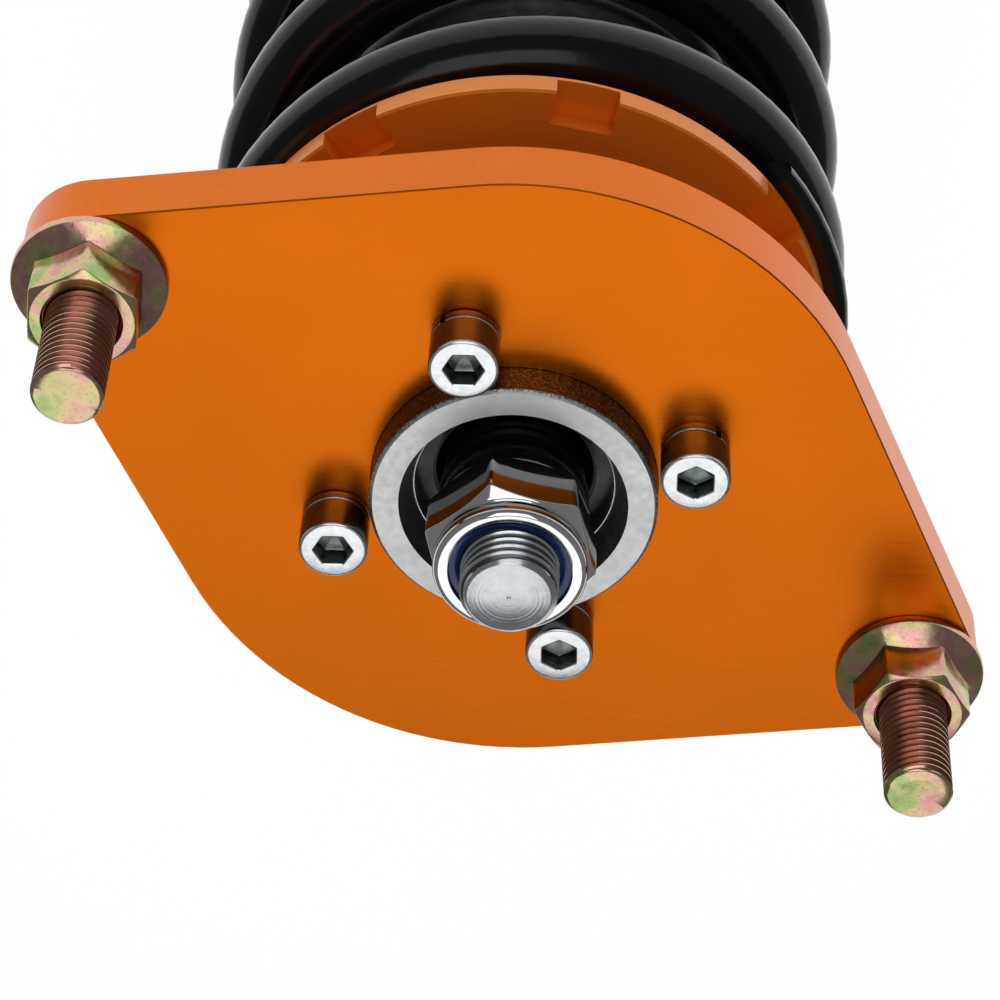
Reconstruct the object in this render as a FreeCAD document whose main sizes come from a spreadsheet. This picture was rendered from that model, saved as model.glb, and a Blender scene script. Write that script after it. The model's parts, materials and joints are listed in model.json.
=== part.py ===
import FreeCAD, Part
import math
import os
import re

import Sketcher

# Coilover suspension strut with a spherical-bearing top mount.
# Millimetres. +Z runs up the strut, and the origin is on the strut's axis in the plane of the
# mount plate's upper face. +X points along the line through the two studs.
# Sizes are the cells of one sheet. Each piece is drawn from its own lowest face upwards, and its
# Placement lifts it to its height on the strut.

SIZES = {
    # shared: small edge break, the gap of a sliding fit, and where a hexagon's corner chamfer
    # starts and ends as shares of its width across flats
    "edge_break": 0.3,
    "slip_gap": 0.02,
    "hex_break_start": 0.485,
    "hex_break_end": 0.62,
    # mount plate and its fasteners
    "plate_thickness": 9.5,
    "plate_disc_radius": 51.7,
    "plate_lug_radius": 11.1,
    "plate_lug_span": 134.8,
    "plate_bore_radius": 20.85,
    "plate_edge_break": 0.2,
    "stud_span": 136.8,
    "stud_hole_radius": 5.25,
    "stud_knurl_radius": 5.2,
    "stud_core_radius": 4.6,
    "stud_core_rise": 0.3,
    "stud_thread_radius": 5.0,
    "stud_head_radius": 8.0,
    "stud_head_thickness": 3.0,
    "stud_rise": 27.0,
    "stud_tip_chamfer": 0.45,
    "stud_nut_height": 10.0,
    "stud_nut_bore_radius": 4.65,
    "stud_nut_lead_in": 1.0,
    "stud_nut_left_clocking": 55.0,
    "stud_nut_right_clocking": 30.0,
    "stud_nut_flats": 15.0,
    "stud_nut_flange_radius": 11.0,
    "stud_nut_flange_edge": 1.5,
    "stud_nut_flange_rise": 1.7,
    "screws": 4,
    "screw_circle_radius": 26.8,
    "screw_hole_radius": 3.3,
    "screw_thread_radius": 3.0,
    "screw_tapped_radius": 3.05,
    "screw_head_radius": 5.0,
    "screw_head_height": 6.0,
    "screw_head_break": 0.4,
    "screw_length": 19.0,
    "screw_socket_flats": 5.0,
    "screw_socket_depth": 3.2,
    "washer_bore_radius": 3.1,
    "washer_radius": 4.95,
    "washer_thickness": 1.9,
    "washer_split": 0.8,
    "washer_clocking": 80.0,
    # bearing and its housing
    "housing_flange_radius": 33.0,
    "housing_flange_thickness": 9.0,
    "housing_collar_radius": 20.75,
    "housing_collar_rise": 5.5,
    "housing_mouth_radius": 16.5,
    "housing_throat_radius": 14.5,
    "housing_throat_rise": 0.5,
    "housing_break": 0.5,
    "bearing_drop": 8.5,
    "race_radius": 15.98,
    "race_bore_radius": 16.0,
    "race_width": 12.0,
    "race_sphere_radius": 13.25,
    "liner_outer_radius": 13.2,
    "liner_inner_radius": 12.75,
    "liner_width": 11.2,
    "ball_radius": 12.7,
    "ball_width": 15.0,
    "ball_bore_radius": 7.05,
    "circlip_thickness": 1.5,
    "circlip_inner_radius": 13.5,
    "circlip_outer_radius": 16.9,
    "circlip_gap": 9.0,
    "circlip_groove_radius": 17.0,
    "circlip_groove_width": 1.6,
    # rod stack above and below the ball
    "upper_spacer_height": 9.5,
    "lower_spacer_height": 8.0,
    "spacer_neck_radius": 9.4,
    "spacer_collar_radius": 10.85,
    "spacer_collar_height": 5.5,
    "spacer_break": 0.5,
    "rod_nut_hex_height": 8.6,
    "rod_nut_height": 12.0,
    "rod_nut_flats": 22.0,
    "rod_nut_clocking": 13.6,
    "rod_nut_collar_radius": 11.0,
    "rod_nut_lip_radius": 8.7,
    "rod_nut_pocket_radius": 9.7,
    "insert_height": 2.6,
    "insert_bore_radius": 7.02,
    "rod_tip_height": 25.8,
    "rod_thread_radius": 7.0,
    "rod_tip_chamfer": 1.05,
    "rod_shoulder_depth": 41.5,
    "rod_radius": 11.0,
    "rod_step_depth": 172.0,
    "rod_spigot_radius": 6.0,
    "rod_end_depth": 208.0,
    "seat_washer_thickness": 1.5,
    "seat_washer_radius": 16.0,
    # upper spring seat
    "seat_face_depth": 32.5,
    "seat_radius": 46.2,
    "seat_rim_thickness": 3.9,
    "seat_break": 0.35,
    "seat_hub_radius": 14.0,
    "seat_hub_rise": 8.5,
    "seat_web_thickness": 7.5,
    "seat_spigot_radius": 36.9,
    "seat_spigot_height": 9.6,
    "seat_cup_radius": 31.0,
    "seat_notch_width": 9.3,
    "seat_notch_depth": 5.7,
    "seat_notch_height": 3.3,
    "seat_notches": 8,
    "seat_clocking": 18.1,
    # coil spring, bump stop and boot
    "spring_radius": 43.5,
    "wire_radius": 6.0,
    "spring_pitch": 30.8,
    "spring_active_turns": 5.1,
    "spring_end_turns": 0.75,
    "spring_end_pitch": 7.1,
    "spring_end_lift": 0.51,
    "spring_tip_clocking": 67.0,
    "bump_bore_radius": 11.1,
    "bump_radius": 20.0,
    "bump_waist_radius": 16.5,
    "bump_height": 24.5,
    "boot_neck_radius": 30.8,
    "boot_neck_height": 6.0,
    "boot_fold_radius": 34.0,
    "boot_root_radius": 29.0,
    "boot_wall": 1.6,
    "boot_fold_pitch": 10.0,
    "boot_folds": 8,
    "boot_lip_radius": 25.3,
    "boot_lip_height": 5.0,
    # damper body
    "tube_radius": 25.0,
    "tube_bore_radius": 22.5,
    "tube_chamfer": 1.0,
    "tube_top_depth": 131.0,
    "tube_length": 221.0,
    "gland_cap_height": 4.0,
    "gland_cap_radius": 24.7,
    "gland_plug_height": 10.0,
    "gland_plug_radius": 22.4,
    "gland_bore_radius": 11.4,
    "gland_wiper_radius": 15.0,
    "gland_wiper_depth": 3.5,
    "gland_notches": 4,
    "gland_notch_width": 5.0,
    "gland_notch_depth": 3.5,
    "gland_notch_height": 2.5,
    "wiper_bore_radius": 11.05,
    "wiper_lip": 1.2,
    "wiper_radius": 14.95,
    "wiper_height": 3.4,
    "guide_radius": 22.45,
    "guide_height": 22.0,
    "guide_bore_radius": 12.6,
    "guide_seal_radius": 16.0,
    "guide_seal_depth": 5.0,
    "guide_ring_groove_radius": 19.7,
    "guide_ring_groove_width": 3.2,
    "guide_ring_height": 8.0,
    "ring_section_radius": 1.35,
    "ring_radius": 21.08,
    "seal_height": 4.9,
    "seal_radius": 15.95,
    "bush_radius": 12.55,
    "bush_height": 15.5,
    "rebound_stop_radius": 17.0,
    "rebound_stop_height": 5.0,
    "rebound_stop_gap": 0.5,
    "piston_radius": 22.1,
    "piston_height": 19.5,
    "piston_port_radius": 2.5,
    "piston_port_circle": 13.0,
    "piston_ports": 6,
    "piston_band_radius": 22.44,
    "piston_band_groove": 21.2,
    "piston_band_width": 12.0,
    "stop_plate_thickness": 2.0,
    "stop_plate_radius": 15.0,
    "shim_thickness": 0.5,
    "shim_first_radius": 19.0,
    "shim_step": 1.8,
    "shims": 3,
    "piston_nut_height": 8.5,
    "piston_nut_flats": 19.0,
    "float_piston_depth": 262.0,
    "float_piston_height": 16.0,
    "float_piston_radius": 22.42,
    "float_dish_radius": 16.0,
    "float_dish_depth": 7.0,
    "end_cap_height": 10.0,
    "end_cap_radius": 22.45,
    "gas_plug_radius": 4.0,
    "gas_plug_bore_radius": 4.05,
    "gas_plug_height": 8.0,
    # spring perch and lock rings
    "isolator_thickness": 2.0,
    "isolator_inner_radius": 37.3,
    "isolator_outer_radius": 49.0,
    "perch_spigot_rise": 8.5,
    "perch_rim_thickness": 6.0,
    "perch_hub_radius": 33.0,
    "perch_hub_height": 17.5,
    "perch_bore_radius": 25.06,
    "lock_ring_radius": 36.0,
    "lock_ring_height": 10.0,
    "lock_notch_width": 8.0,
    "lock_notch_depth": 4.0,
    "lock_notches": 6,
    "perch_ring_clocking": 25.0,
    "bracket_ring_clocking": 10.0,
    "bracket_ring_depth": 290.0,
    # lower bracket and bush
    "eye_depth": 400.0,
    "bracket_top_rise": 110.0,
    "bracket_radius": 33.0,
    "bracket_bore_floor": 38.0,
    "bracket_neck_rise": 27.0,
    "bracket_neck_radius": 18.0,
    "eye_radius": 25.0,
    "eye_width": 40.0,
    "eye_bore_radius": 19.0,
    "shell_radius": 18.97,
    "shell_bore_radius": 17.4,
    "rubber_radius": 17.35,
    "rubber_bore_radius": 10.5,
    "rubber_width": 37.0,
    "sleeve_radius": 10.4,
    "sleeve_bore_radius": 6.05,
    "sleeve_width": 46.0,
}

doc = FreeCAD.newDocument("Coilover")
sheet = doc.addObject("Spreadsheet::Sheet", "Dims")
for row, (alias, number) in enumerate(SIZES.items(), start=1):
    sheet.set("A%d" % row, alias)
    sheet.set("B%d" % row, str(number))
    sheet.setAlias("B%d" % row, alias)
doc.recompute()

UP = FreeCAD.Vector(0, 0, 1)
nodes = {}


# ---------------------------------------------------------------- helpers


def linked(expression):
    """The expression with every sheet alias in it written as Dims.alias."""
    return re.sub("[a-z_]+", lambda word: "Dims." + word[0] if word[0] in SIZES else word[0], expression)


def size(expression):
    """The expression's present value in millimetres or degrees."""
    return float(sheet.evalExpression(linked(expression)))


def keep(node):
    """Marks an object as a finished piece, written to a file of its own name."""
    node.Label = node.Name
    nodes[node.Name] = node
    return node


def place(node, height, clocking="0", x="0", y="0"):
    """Stands a piece at a height, turned about the strut's axis or beside it."""
    node.Placement = FreeCAD.Placement(FreeCAD.Vector(0, 0, 0), FreeCAD.Rotation(UP, 1))
    for path, expression in (
        ("Placement.Base.x", x),
        ("Placement.Base.y", y),
        ("Placement.Base.z", height),
        ("Placement.Rotation.Angle", clocking),
    ):
        node.setExpression(path, linked(expression))
    return node


def sketch_on(body, name, role, height=None):
    """A sketch on one of the body's own origin planes, or a height above it."""
    plane = next(o for o in body.Origin.OriginFeatures if o.Role == role)
    sketch = body.newObject("Sketcher::SketchObject", name)
    sketch.AttachmentSupport = (plane, [""])
    sketch.MapMode = "FlatFace"
    if height:
        sketch.setExpression("AttachmentOffset.Base.z", linked(height))
    return sketch


def pin_down(sketch, kind, curve, point, expression):
    """Ties a point's distance from the sketch's origin to an expression."""
    distance = size(expression)
    if abs(distance) < 1e-9:
        axis = -2 if kind == "DistanceX" else -1
        sketch.addConstraint(Sketcher.Constraint("PointOnObject", curve, point, axis))
        return
    number = sketch.addConstraint(Sketcher.Constraint(kind, -1, 1, curve, point, distance))
    sketch.setExpression("Constraints[%d]" % number, linked(expression))


def draw_outline(sketch, corners):
    """A closed polygon through corners given as pairs of expressions."""
    spots = [FreeCAD.Vector(size(across), size(up), 0) for across, up in corners]
    count = len(spots)
    for first in range(count):
        sketch.addGeometry(Part.LineSegment(spots[first], spots[(first + 1) % count]), False)
    for first in range(count):
        sketch.addConstraint(Sketcher.Constraint("Coincident", first, 2, (first + 1) % count, 1))
    for line, (across, up) in enumerate(corners):
        pin_down(sketch, "DistanceX", line, 1, across)
        pin_down(sketch, "DistanceY", line, 1, up)


def draw_circle(sketch, radius, across="0", up="0"):
    """A circle tied to expressions for its radius and centre."""
    centre = FreeCAD.Vector(size(across), size(up), 0)
    curve = sketch.addGeometry(Part.Circle(centre, UP, size(radius)), False)
    number = sketch.addConstraint(Sketcher.Constraint("Radius", curve, size(radius)))
    sketch.setExpression("Constraints[%d]" % number, linked(radius))
    pin_down(sketch, "DistanceX", curve, 3, across)
    pin_down(sketch, "DistanceY", curve, 3, up)


def draw_hexagon(sketch, flats):
    """A regular hexagon about the origin, with a corner on the +X axis."""
    reach = size(flats) / math.sqrt(3)
    turn = math.pi / 3
    spots = [FreeCAD.Vector(reach * math.cos(turn * i), reach * math.sin(turn * i), 0) for i in range(6)]
    ring = sketch.addGeometry(Part.Circle(FreeCAD.Vector(0, 0, 0), UP, reach), True)
    sketch.addConstraint(Sketcher.Constraint("Coincident", ring, 3, -1, 1))
    number = sketch.addConstraint(Sketcher.Constraint("Diameter", ring, 2 * reach))
    sketch.setExpression("Constraints[%d]" % number, linked(flats) + " / cos(30)")
    sides = [sketch.addGeometry(Part.LineSegment(spots[i], spots[(i + 1) % 6]), False) for i in range(6)]
    for i in range(6):
        sketch.addConstraint(Sketcher.Constraint("Coincident", sides[i], 2, sides[(i + 1) % 6], 1))
        sketch.addConstraint(Sketcher.Constraint("PointOnObject", sides[i], 1, ring))
    for i in range(1, 6):
        sketch.addConstraint(Sketcher.Constraint("Equal", sides[0], sides[i]))
    sketch.addConstraint(Sketcher.Constraint("PointOnObject", sides[0], 1, -1))


def new_body(name):
    return doc.addObject("PartDesign::Body", name)


def revolve(body, name, corners, kind="PartDesign::Revolution"):
    """Turns an outline of (radius, height) corners about the body's Z axis."""
    sketch = sketch_on(body, name + "_profile", "XZ_Plane")
    draw_outline(sketch, corners)
    feature = body.newObject(kind, name)
    feature.Profile = sketch
    feature.ReferenceAxis = (sketch, ["V_Axis"])
    feature.Angle = 360
    doc.recompute()
    return feature


def turned(name, corners):
    """A body that is one turned outline."""
    body = new_body(name)
    revolve(body, name + "_turning", corners)
    return body


def pad(body, name, draw, length, height=None):
    """Draws on the XY plane and pads it upwards."""
    sketch = sketch_on(body, name + "_outline", "XY_Plane", height)
    draw(sketch)
    feature = body.newObject("PartDesign::Pad", name)
    feature.Profile = sketch
    feature.setExpression("Length", linked(length))
    doc.recompute()
    return feature


def pocket(body, name, draw, height=None, depth=None, upwards=False):
    """Draws on the XY plane and cuts: through everything, or to a depth."""
    before = body.Shape.Volume
    sketch = sketch_on(body, name + "_outline", "XY_Plane", height)
    draw(sketch)
    feature = body.newObject("PartDesign::Pocket", name)
    feature.Profile = sketch
    if depth:
        feature.setExpression("Length", linked(depth))
        feature.Reversed = upwards
    else:
        feature.Type = "ThroughAll"
        feature.Midplane = True
    doc.recompute()
    if body.Shape.Volume > before - 0.01:
        raise RuntimeError(name + " cuts nothing")
    return feature


def polar(body, feature, count):
    """Repeats a feature evenly round the body's Z axis."""
    pattern = body.newObject("PartDesign::PolarPattern", feature.Name + "_ring")
    pattern.Originals = [feature]
    axis = next(o for o in body.Origin.OriginFeatures if o.Role == "Z_Axis")
    pattern.Axis = (axis, [""])
    pattern.Angle = 360
    pattern.setExpression("Occurrences", linked(count))
    body.Tip = pattern
    doc.recompute()
    return pattern


def hex_chamfers(body, flats, height, both_ends=True):
    """Cuts a hexagon's corners at 30 degrees, as a nut is turned."""
    inner = flats + " * hex_break_start"
    outer = flats + " * hex_break_end"
    fall = flats + " * (hex_break_end - hex_break_start) * tan(30)"
    top = [(inner, height), (outer, height), (outer, "%s - %s" % (height, fall))]
    revolve(body, body.Name + "_top_break", top, "PartDesign::Groove")
    if both_ends:
        foot = [(inner, "0"), (outer, fall), (outer, "0")]
        revolve(body, body.Name + "_foot_break", foot, "PartDesign::Groove")


def primitive(kind, name, **sizes):
    """A Part primitive with every size tied to an expression."""
    solid = doc.addObject(kind, name)
    for attribute, expression in sizes.items():
        solid.setExpression(attribute, linked(expression))
    return solid


def boolean(kind, name, base, tool):
    """A Part boolean of two objects."""
    result = doc.addObject(kind, name)
    result.Base = base
    result.Tool = tool
    return result


def together(name, pieces):
    """Several separate solids of one kind, kept as one piece."""
    group = doc.addObject("Part::Compound", name)
    group.Links = pieces
    return group


def below(name):
    """Writes a sheet depth as a height: depths are counted down from the plate's face."""
    return "0 - " + name


# ---------------------------------------------------------------- top mount


def make_plate():
    """Flat diamond plate: a disc and two lugs joined by straight tangents."""
    body = new_body("mount_plate")
    reach = size("plate_lug_span") / 2
    disc = size("plate_disc_radius")
    lug = size("plate_lug_radius")
    lean = math.acos((disc - lug) / reach)
    right = FreeCAD.Vector(reach, 0, 0)
    left = FreeCAD.Vector(-reach, 0, 0)
    middle = FreeCAD.Vector(0, 0, 0)

    def on(centre, radius, angle):
        return centre + FreeCAD.Vector(radius * math.cos(angle), radius * math.sin(angle), 0)

    def outline(sketch):
        arcs = [
            (middle, disc, lean, math.pi - lean),
            (left, lug, math.pi - lean, math.pi + lean),
            (middle, disc, math.pi + lean, 2 * math.pi - lean),
            (right, lug, -lean, lean),
        ]
        curves = []
        for centre, radius, start, stop in arcs:
            circle = Part.Circle(centre, UP, radius)
            curves.append(sketch.addGeometry(Part.ArcOfCircle(circle, start, stop), False))
        for index, (centre, radius, _, stop) in enumerate(arcs):
            other_centre, other_radius, start, _ = arcs[(index + 1) % 4]
            ends = (on(centre, radius, stop), on(other_centre, other_radius, start))
            line = sketch.addGeometry(Part.LineSegment(*ends), False)
            following = curves[(index + 1) % 4]
            sketch.addConstraint(Sketcher.Constraint("Tangent", curves[index], 2, line, 1))
            sketch.addConstraint(Sketcher.Constraint("Tangent", line, 2, following, 1))
        for curve, name in zip(curves, ("disc", "lug", "disc", "lug")):
            cell = "plate_%s_radius" % name
            number = sketch.addConstraint(Sketcher.Constraint("Radius", curve, size(cell)))
            sketch.setExpression("Constraints[%d]" % number, linked(cell))
        for curve in (curves[0], curves[2]):
            sketch.addConstraint(Sketcher.Constraint("Coincident", curve, 3, -1, 1))
        pin_down(sketch, "DistanceX", curves[3], 3, "plate_lug_span / 2")
        pin_down(sketch, "DistanceY", curves[3], 3, "0")
        sketch.addConstraint(Sketcher.Constraint("Symmetric", curves[1], 3, curves[3], 3, -2))

    slab = pad(body, "plate_slab", outline, "plate_thickness")
    edges = []
    for number, edge in enumerate(slab.Shape.Edges, start=1):
        box = edge.BoundBox
        if box.ZLength < 1e-6:
            edges.append("Edge%d" % number)
    chamfer = body.newObject("PartDesign::Chamfer", "plate_edges")
    chamfer.Base = (slab, edges)
    chamfer.setExpression("Size", linked("plate_edge_break"))
    doc.recompute()
    pocket(body, "plate_bore", lambda sketch: draw_circle(sketch, "plate_bore_radius"))

    def stud_holes(sketch):
        draw_circle(sketch, "stud_hole_radius", "stud_span / 2")
        draw_circle(sketch, "stud_hole_radius", "0 - stud_span / 2")

    pocket(body, "plate_stud_holes", stud_holes)

    def screw_hole(sketch):
        draw_circle(sketch, "screw_hole_radius", *SCREW_SPOT)

    polar(body, pocket(body, "plate_screw_hole", screw_hole), "screws")
    keep(place(body, below("plate_thickness")))


SCREW_SPOT = ("screw_circle_radius * cos(45)", "screw_circle_radius * sin(45)")
SCREW_SIGNS = ((1, 1), (-1, 1), (-1, -1), (1, -1))
STUD_SIGNS = (-1, 1)


def screw_spot(signs):
    """The x and y expressions of one cap screw."""
    return ["%d * %s" % (sign, spot) for sign, spot in zip(signs, SCREW_SPOT)]


def make_studs():
    """Press-in studs, headed below the plate and threaded above it."""
    head = "stud_head_thickness"
    face = head + " + plate_thickness"
    nut_top = face + " + stud_nut_height"
    tip = face + " + stud_rise"
    studs = []
    for side in STUD_SIGNS:
        stud = turned(
            "stud_left" if side < 0 else "stud_right",
            [
                ("0", "0"),
                ("stud_head_radius", "0"),
                ("stud_head_radius", head),
                ("stud_knurl_radius", head),
                ("stud_knurl_radius", face),
                ("stud_core_radius", face),
                ("stud_core_radius", nut_top + " + stud_core_rise"),
                ("stud_thread_radius", nut_top + " + stud_core_rise"),
                ("stud_thread_radius", tip + " - stud_tip_chamfer"),
                ("stud_thread_radius - stud_tip_chamfer", tip),
                ("0", tip),
            ],
        )
        place(stud, "0 - plate_thickness - stud_head_thickness", x="%d * stud_span / 2" % side)
        studs.append(stud)
    keep(together("mount_studs", studs))


def make_stud_nuts():
    """Flanged hexagon nuts, seated on the plate."""
    flange_top = "stud_nut_flange_edge + stud_nut_flange_rise"
    nuts = []
    for side, clocking in zip(STUD_SIGNS, ("stud_nut_left_clocking", "stud_nut_right_clocking")):
        nut = new_body("stud_nut_left" if side < 0 else "stud_nut_right")
        pad(nut, nut.Name + "_hex", lambda sketch: draw_hexagon(sketch, "stud_nut_flats"), "stud_nut_height")
        hex_chamfers(nut, "stud_nut_flats", "stud_nut_height", both_ends=False)
        revolve(
            nut,
            nut.Name + "_flange",
            [
                ("stud_nut_bore_radius", "0"),
                ("stud_nut_flange_radius - edge_break", "0"),
                ("stud_nut_flange_radius", "edge_break"),
                ("stud_nut_flange_radius", "stud_nut_flange_edge - edge_break"),
                ("stud_nut_flange_radius - edge_break", "stud_nut_flange_edge"),
                ("stud_nut_flats / 2", flange_top),
                ("stud_nut_bore_radius", flange_top),
            ],
        )
        pocket(nut, nut.Name + "_bore", lambda sketch: draw_circle(sketch, "stud_nut_bore_radius"))
        revolve(
            nut,
            nut.Name + "_lead_in",
            [
                ("stud_nut_bore_radius - stud_nut_lead_in", "stud_nut_height"),
                ("stud_nut_bore_radius - stud_nut_lead_in", "stud_nut_height - 2 * stud_nut_lead_in"),
                ("stud_nut_bore_radius", "stud_nut_height - stud_nut_lead_in"),
                ("stud_nut_bore_radius + stud_nut_lead_in", "stud_nut_height"),
            ],
            "PartDesign::Groove",
        )
        place(nut, "0", clocking, x="%d * stud_span / 2" % side)
        nuts.append(nut)
    keep(together("stud_nuts", nuts))


def make_screws():
    """Socket-head cap screws and their spring washers, on one circle at 45 degrees."""
    screws = []
    washers = []
    shank = "screw_length"
    top = "screw_length + screw_head_height"
    head = "screw_head_radius"
    for number, (signs, clocking) in enumerate(zip(SCREW_SIGNS, ("0", "30", "30", "0")), start=1):
        screw = turned(
            "cap_screw_%d" % number,
            [
                ("0", "0"),
                ("screw_thread_radius - 0.5", "0"),
                ("screw_thread_radius", "0.5"),
                ("screw_thread_radius", shank),
                (head, shank),
                (head, top + " - screw_head_break"),
                (head + " - screw_head_break", top),
                ("0", top),
            ],
        )
        pocket(
            screw,
            screw.Name + "_socket",
            lambda sketch: draw_hexagon(sketch, "screw_socket_flats"),
            height=top,
            depth="screw_socket_depth",
        )
        x, y = screw_spot(signs)
        place(screw, "washer_thickness - screw_length", clocking, x, y)
        screws.append(screw)
        washer = turned(
            "spring_washer_%d" % number,
            [
                ("washer_bore_radius", "0"),
                ("washer_radius", "0"),
                ("washer_radius", "washer_thickness"),
                ("washer_bore_radius", "washer_thickness"),
            ],
        )

        def split(sketch):
            half = "washer_split / 2"
            far = "washer_radius + 1"
            draw_outline(sketch, [("0", "0 - " + half), (far, "0 - " + half), (far, half), ("0", half)])

        pocket(washer, washer.Name + "_split", split)
        place(washer, "0", "%d * washer_clocking" % number, x, y)
        washers.append(washer)
    keep(together("cap_screws", screws))
    keep(together("spring_washers", washers))


def make_housing():
    """Flanged bearing housing: up through the plate, its lip holding the race from above."""
    top = "housing_flange_thickness + plate_thickness + housing_collar_rise"
    throat = "housing_flange_thickness + plate_thickness + housing_throat_rise"
    race_top = "housing_flange_thickness + plate_thickness - bearing_drop + race_width / 2"
    race_foot = race_top + " - race_width"
    groove_foot = race_foot + " - circlip_groove_width"
    collar = "housing_collar_radius"
    body = turned(
        "bearing_housing",
        [
            ("race_bore_radius + housing_break", "0"),
            ("housing_flange_radius - housing_break", "0"),
            ("housing_flange_radius", "housing_break"),
            ("housing_flange_radius", "housing_flange_thickness"),
            (collar, "housing_flange_thickness"),
            (collar, top + " - housing_break"),
            (collar + " - housing_break", top),
            ("housing_mouth_radius", top),
            ("housing_throat_radius", throat),
            ("housing_throat_radius", race_top),
            ("race_bore_radius", race_top),
            ("race_bore_radius", race_foot),
            ("circlip_groove_radius", race_foot),
            ("circlip_groove_radius", groove_foot),
            ("race_bore_radius", groove_foot),
            ("race_bore_radius", "housing_break"),
        ],
    )

    def tapped_hole(sketch):
        draw_circle(sketch, "screw_tapped_radius", *SCREW_SPOT)

    polar(body, pocket(body, "housing_tapped_hole", tapped_hole), "screws")
    keep(place(body, "0 - plate_thickness - housing_flange_thickness"))


def ball_slice(name, radius, width):
    """A sphere about the bearing's centre, cut flat to a width."""
    sphere = place(primitive("Part::Sphere", name + "_sphere", Radius=radius), below("bearing_drop"))
    slab = primitive("Part::Cylinder", name + "_slab", Radius="race_radius", Height=width)
    place(slab, "0 - bearing_drop - %s / 2" % width)
    return boolean("Part::Common", name, sphere, slab)


def make_bearing():
    """Spherical plain bearing: outer race, sliding liner and bored ball, with its circlip."""
    blank = primitive("Part::Cylinder", "race_blank", Radius="race_radius", Height="race_width")
    place(blank, "0 - bearing_drop - race_width / 2")
    hollow = primitive("Part::Sphere", "race_hollow", Radius="race_sphere_radius")
    keep(boolean("Part::Cut", "bearing_race", blank, place(hollow, below("bearing_drop"))))

    hollow = primitive("Part::Sphere", "liner_hollow", Radius="liner_inner_radius")
    solid = ball_slice("liner_blank", "liner_outer_radius", "liner_width")
    keep(boolean("Part::Cut", "bearing_liner", solid, place(hollow, below("bearing_drop"))))

    bore = primitive("Part::Cylinder", "ball_bore", Radius="ball_bore_radius", Height="2 * ball_width")
    place(bore, "0 - bearing_drop - ball_width")
    keep(boolean("Part::Cut", "bearing_ball", ball_slice("ball_blank", "ball_radius", "ball_width"), bore))

    clip = turned(
        "bearing_circlip",
        [
            ("circlip_inner_radius", "0"),
            ("circlip_outer_radius", "0"),
            ("circlip_outer_radius", "circlip_thickness"),
            ("circlip_inner_radius", "circlip_thickness"),
        ],
    )

    def gap(sketch):
        half = "circlip_gap / 2"
        far = "circlip_outer_radius + 1"
        draw_outline(sketch, [("0", "0 - " + half), (far, "0 - " + half), (far, half), ("0", half)])

    pocket(clip, "circlip_gap_cut", gap)
    keep(place(clip, "0 - bearing_drop - race_width / 2 - circlip_thickness"))


# ---------------------------------------------------------------- rod and upper seat


def make_spacers():
    """Coned spacers that hold the ball between the nut and the spring seat."""
    neck = "spacer_neck_radius"
    collar = "spacer_collar_radius"
    bore = "ball_bore_radius"
    corner = "upper_spacer_height - spacer_collar_height"
    upper = turned(
        "upper_spacer",
        [
            (bore, "0"),
            (neck, "0"),
            (neck, corner + " - spacer_break"),
            (collar + " - spacer_break", corner),
            (collar, corner + " + spacer_break"),
            (collar, "upper_spacer_height"),
            (bore, "upper_spacer_height"),
        ],
    )
    keep(place(upper, "0 - bearing_drop + ball_width / 2"))
    lower = turned(
        "lower_spacer",
        [
            (bore, "0"),
            (collar, "0"),
            (collar, "lower_spacer_height * 0.4"),
            (neck, "lower_spacer_height * 0.6"),
            (neck, "lower_spacer_height"),
            (bore, "lower_spacer_height"),
        ],
    )
    keep(place(lower, "0 - bearing_drop - ball_width / 2 - lower_spacer_height"))


def make_rod_nut():
    """Self-locking nut: hexagon, turned collar and the polymer ring held under its lip."""
    foot = "upper_spacer_height - bearing_drop + ball_width / 2"
    nut = new_body("rod_nut")
    pad(nut, "rod_nut_hex", lambda sketch: draw_hexagon(sketch, "rod_nut_flats"), "rod_nut_hex_height")
    hex_chamfers(nut, "rod_nut_flats", "rod_nut_hex_height")
    collar = "rod_nut_collar_radius"
    revolve(
        nut,
        "rod_nut_collar",
        [
            ("rod_thread_radius", "rod_nut_hex_height - 2"),
            (collar + " - 0.4", "rod_nut_hex_height - 2"),
            (collar + " - 0.4", "rod_nut_hex_height + 0.2"),
            (collar, "rod_nut_hex_height + 0.9"),
            (collar, "rod_nut_height - 1.2"),
            (collar + " - 0.4", "rod_nut_height - 0.35"),
            (collar + " - 1.1", "rod_nut_height"),
            ("rod_thread_radius", "rod_nut_height"),
        ],
    )
    pocket(nut, "rod_nut_bore", lambda sketch: draw_circle(sketch, "ball_bore_radius"))
    ledge = "rod_nut_height - 0.7 - insert_height"
    revolve(
        nut,
        "rod_nut_insert_pocket",
        [
            ("rod_thread_radius - 1", ledge),
            ("rod_nut_pocket_radius", ledge),
            ("rod_nut_pocket_radius", ledge + " + insert_height"),
            ("rod_nut_lip_radius", "rod_nut_height - 0.3"),
            ("rod_nut_lip_radius", "rod_nut_height"),
            ("rod_thread_radius - 1", "rod_nut_height"),
        ],
        "PartDesign::Groove",
    )
    keep(place(nut, foot, "rod_nut_clocking"))
    insert = turned(
        "rod_nut_insert",
        [
            ("insert_bore_radius", "0"),
            ("rod_nut_pocket_radius", "0"),
            ("rod_nut_pocket_radius", "insert_height"),
            ("insert_bore_radius", "insert_height"),
        ],
    )
    keep(place(insert, "%s + %s" % (foot, ledge)))


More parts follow.
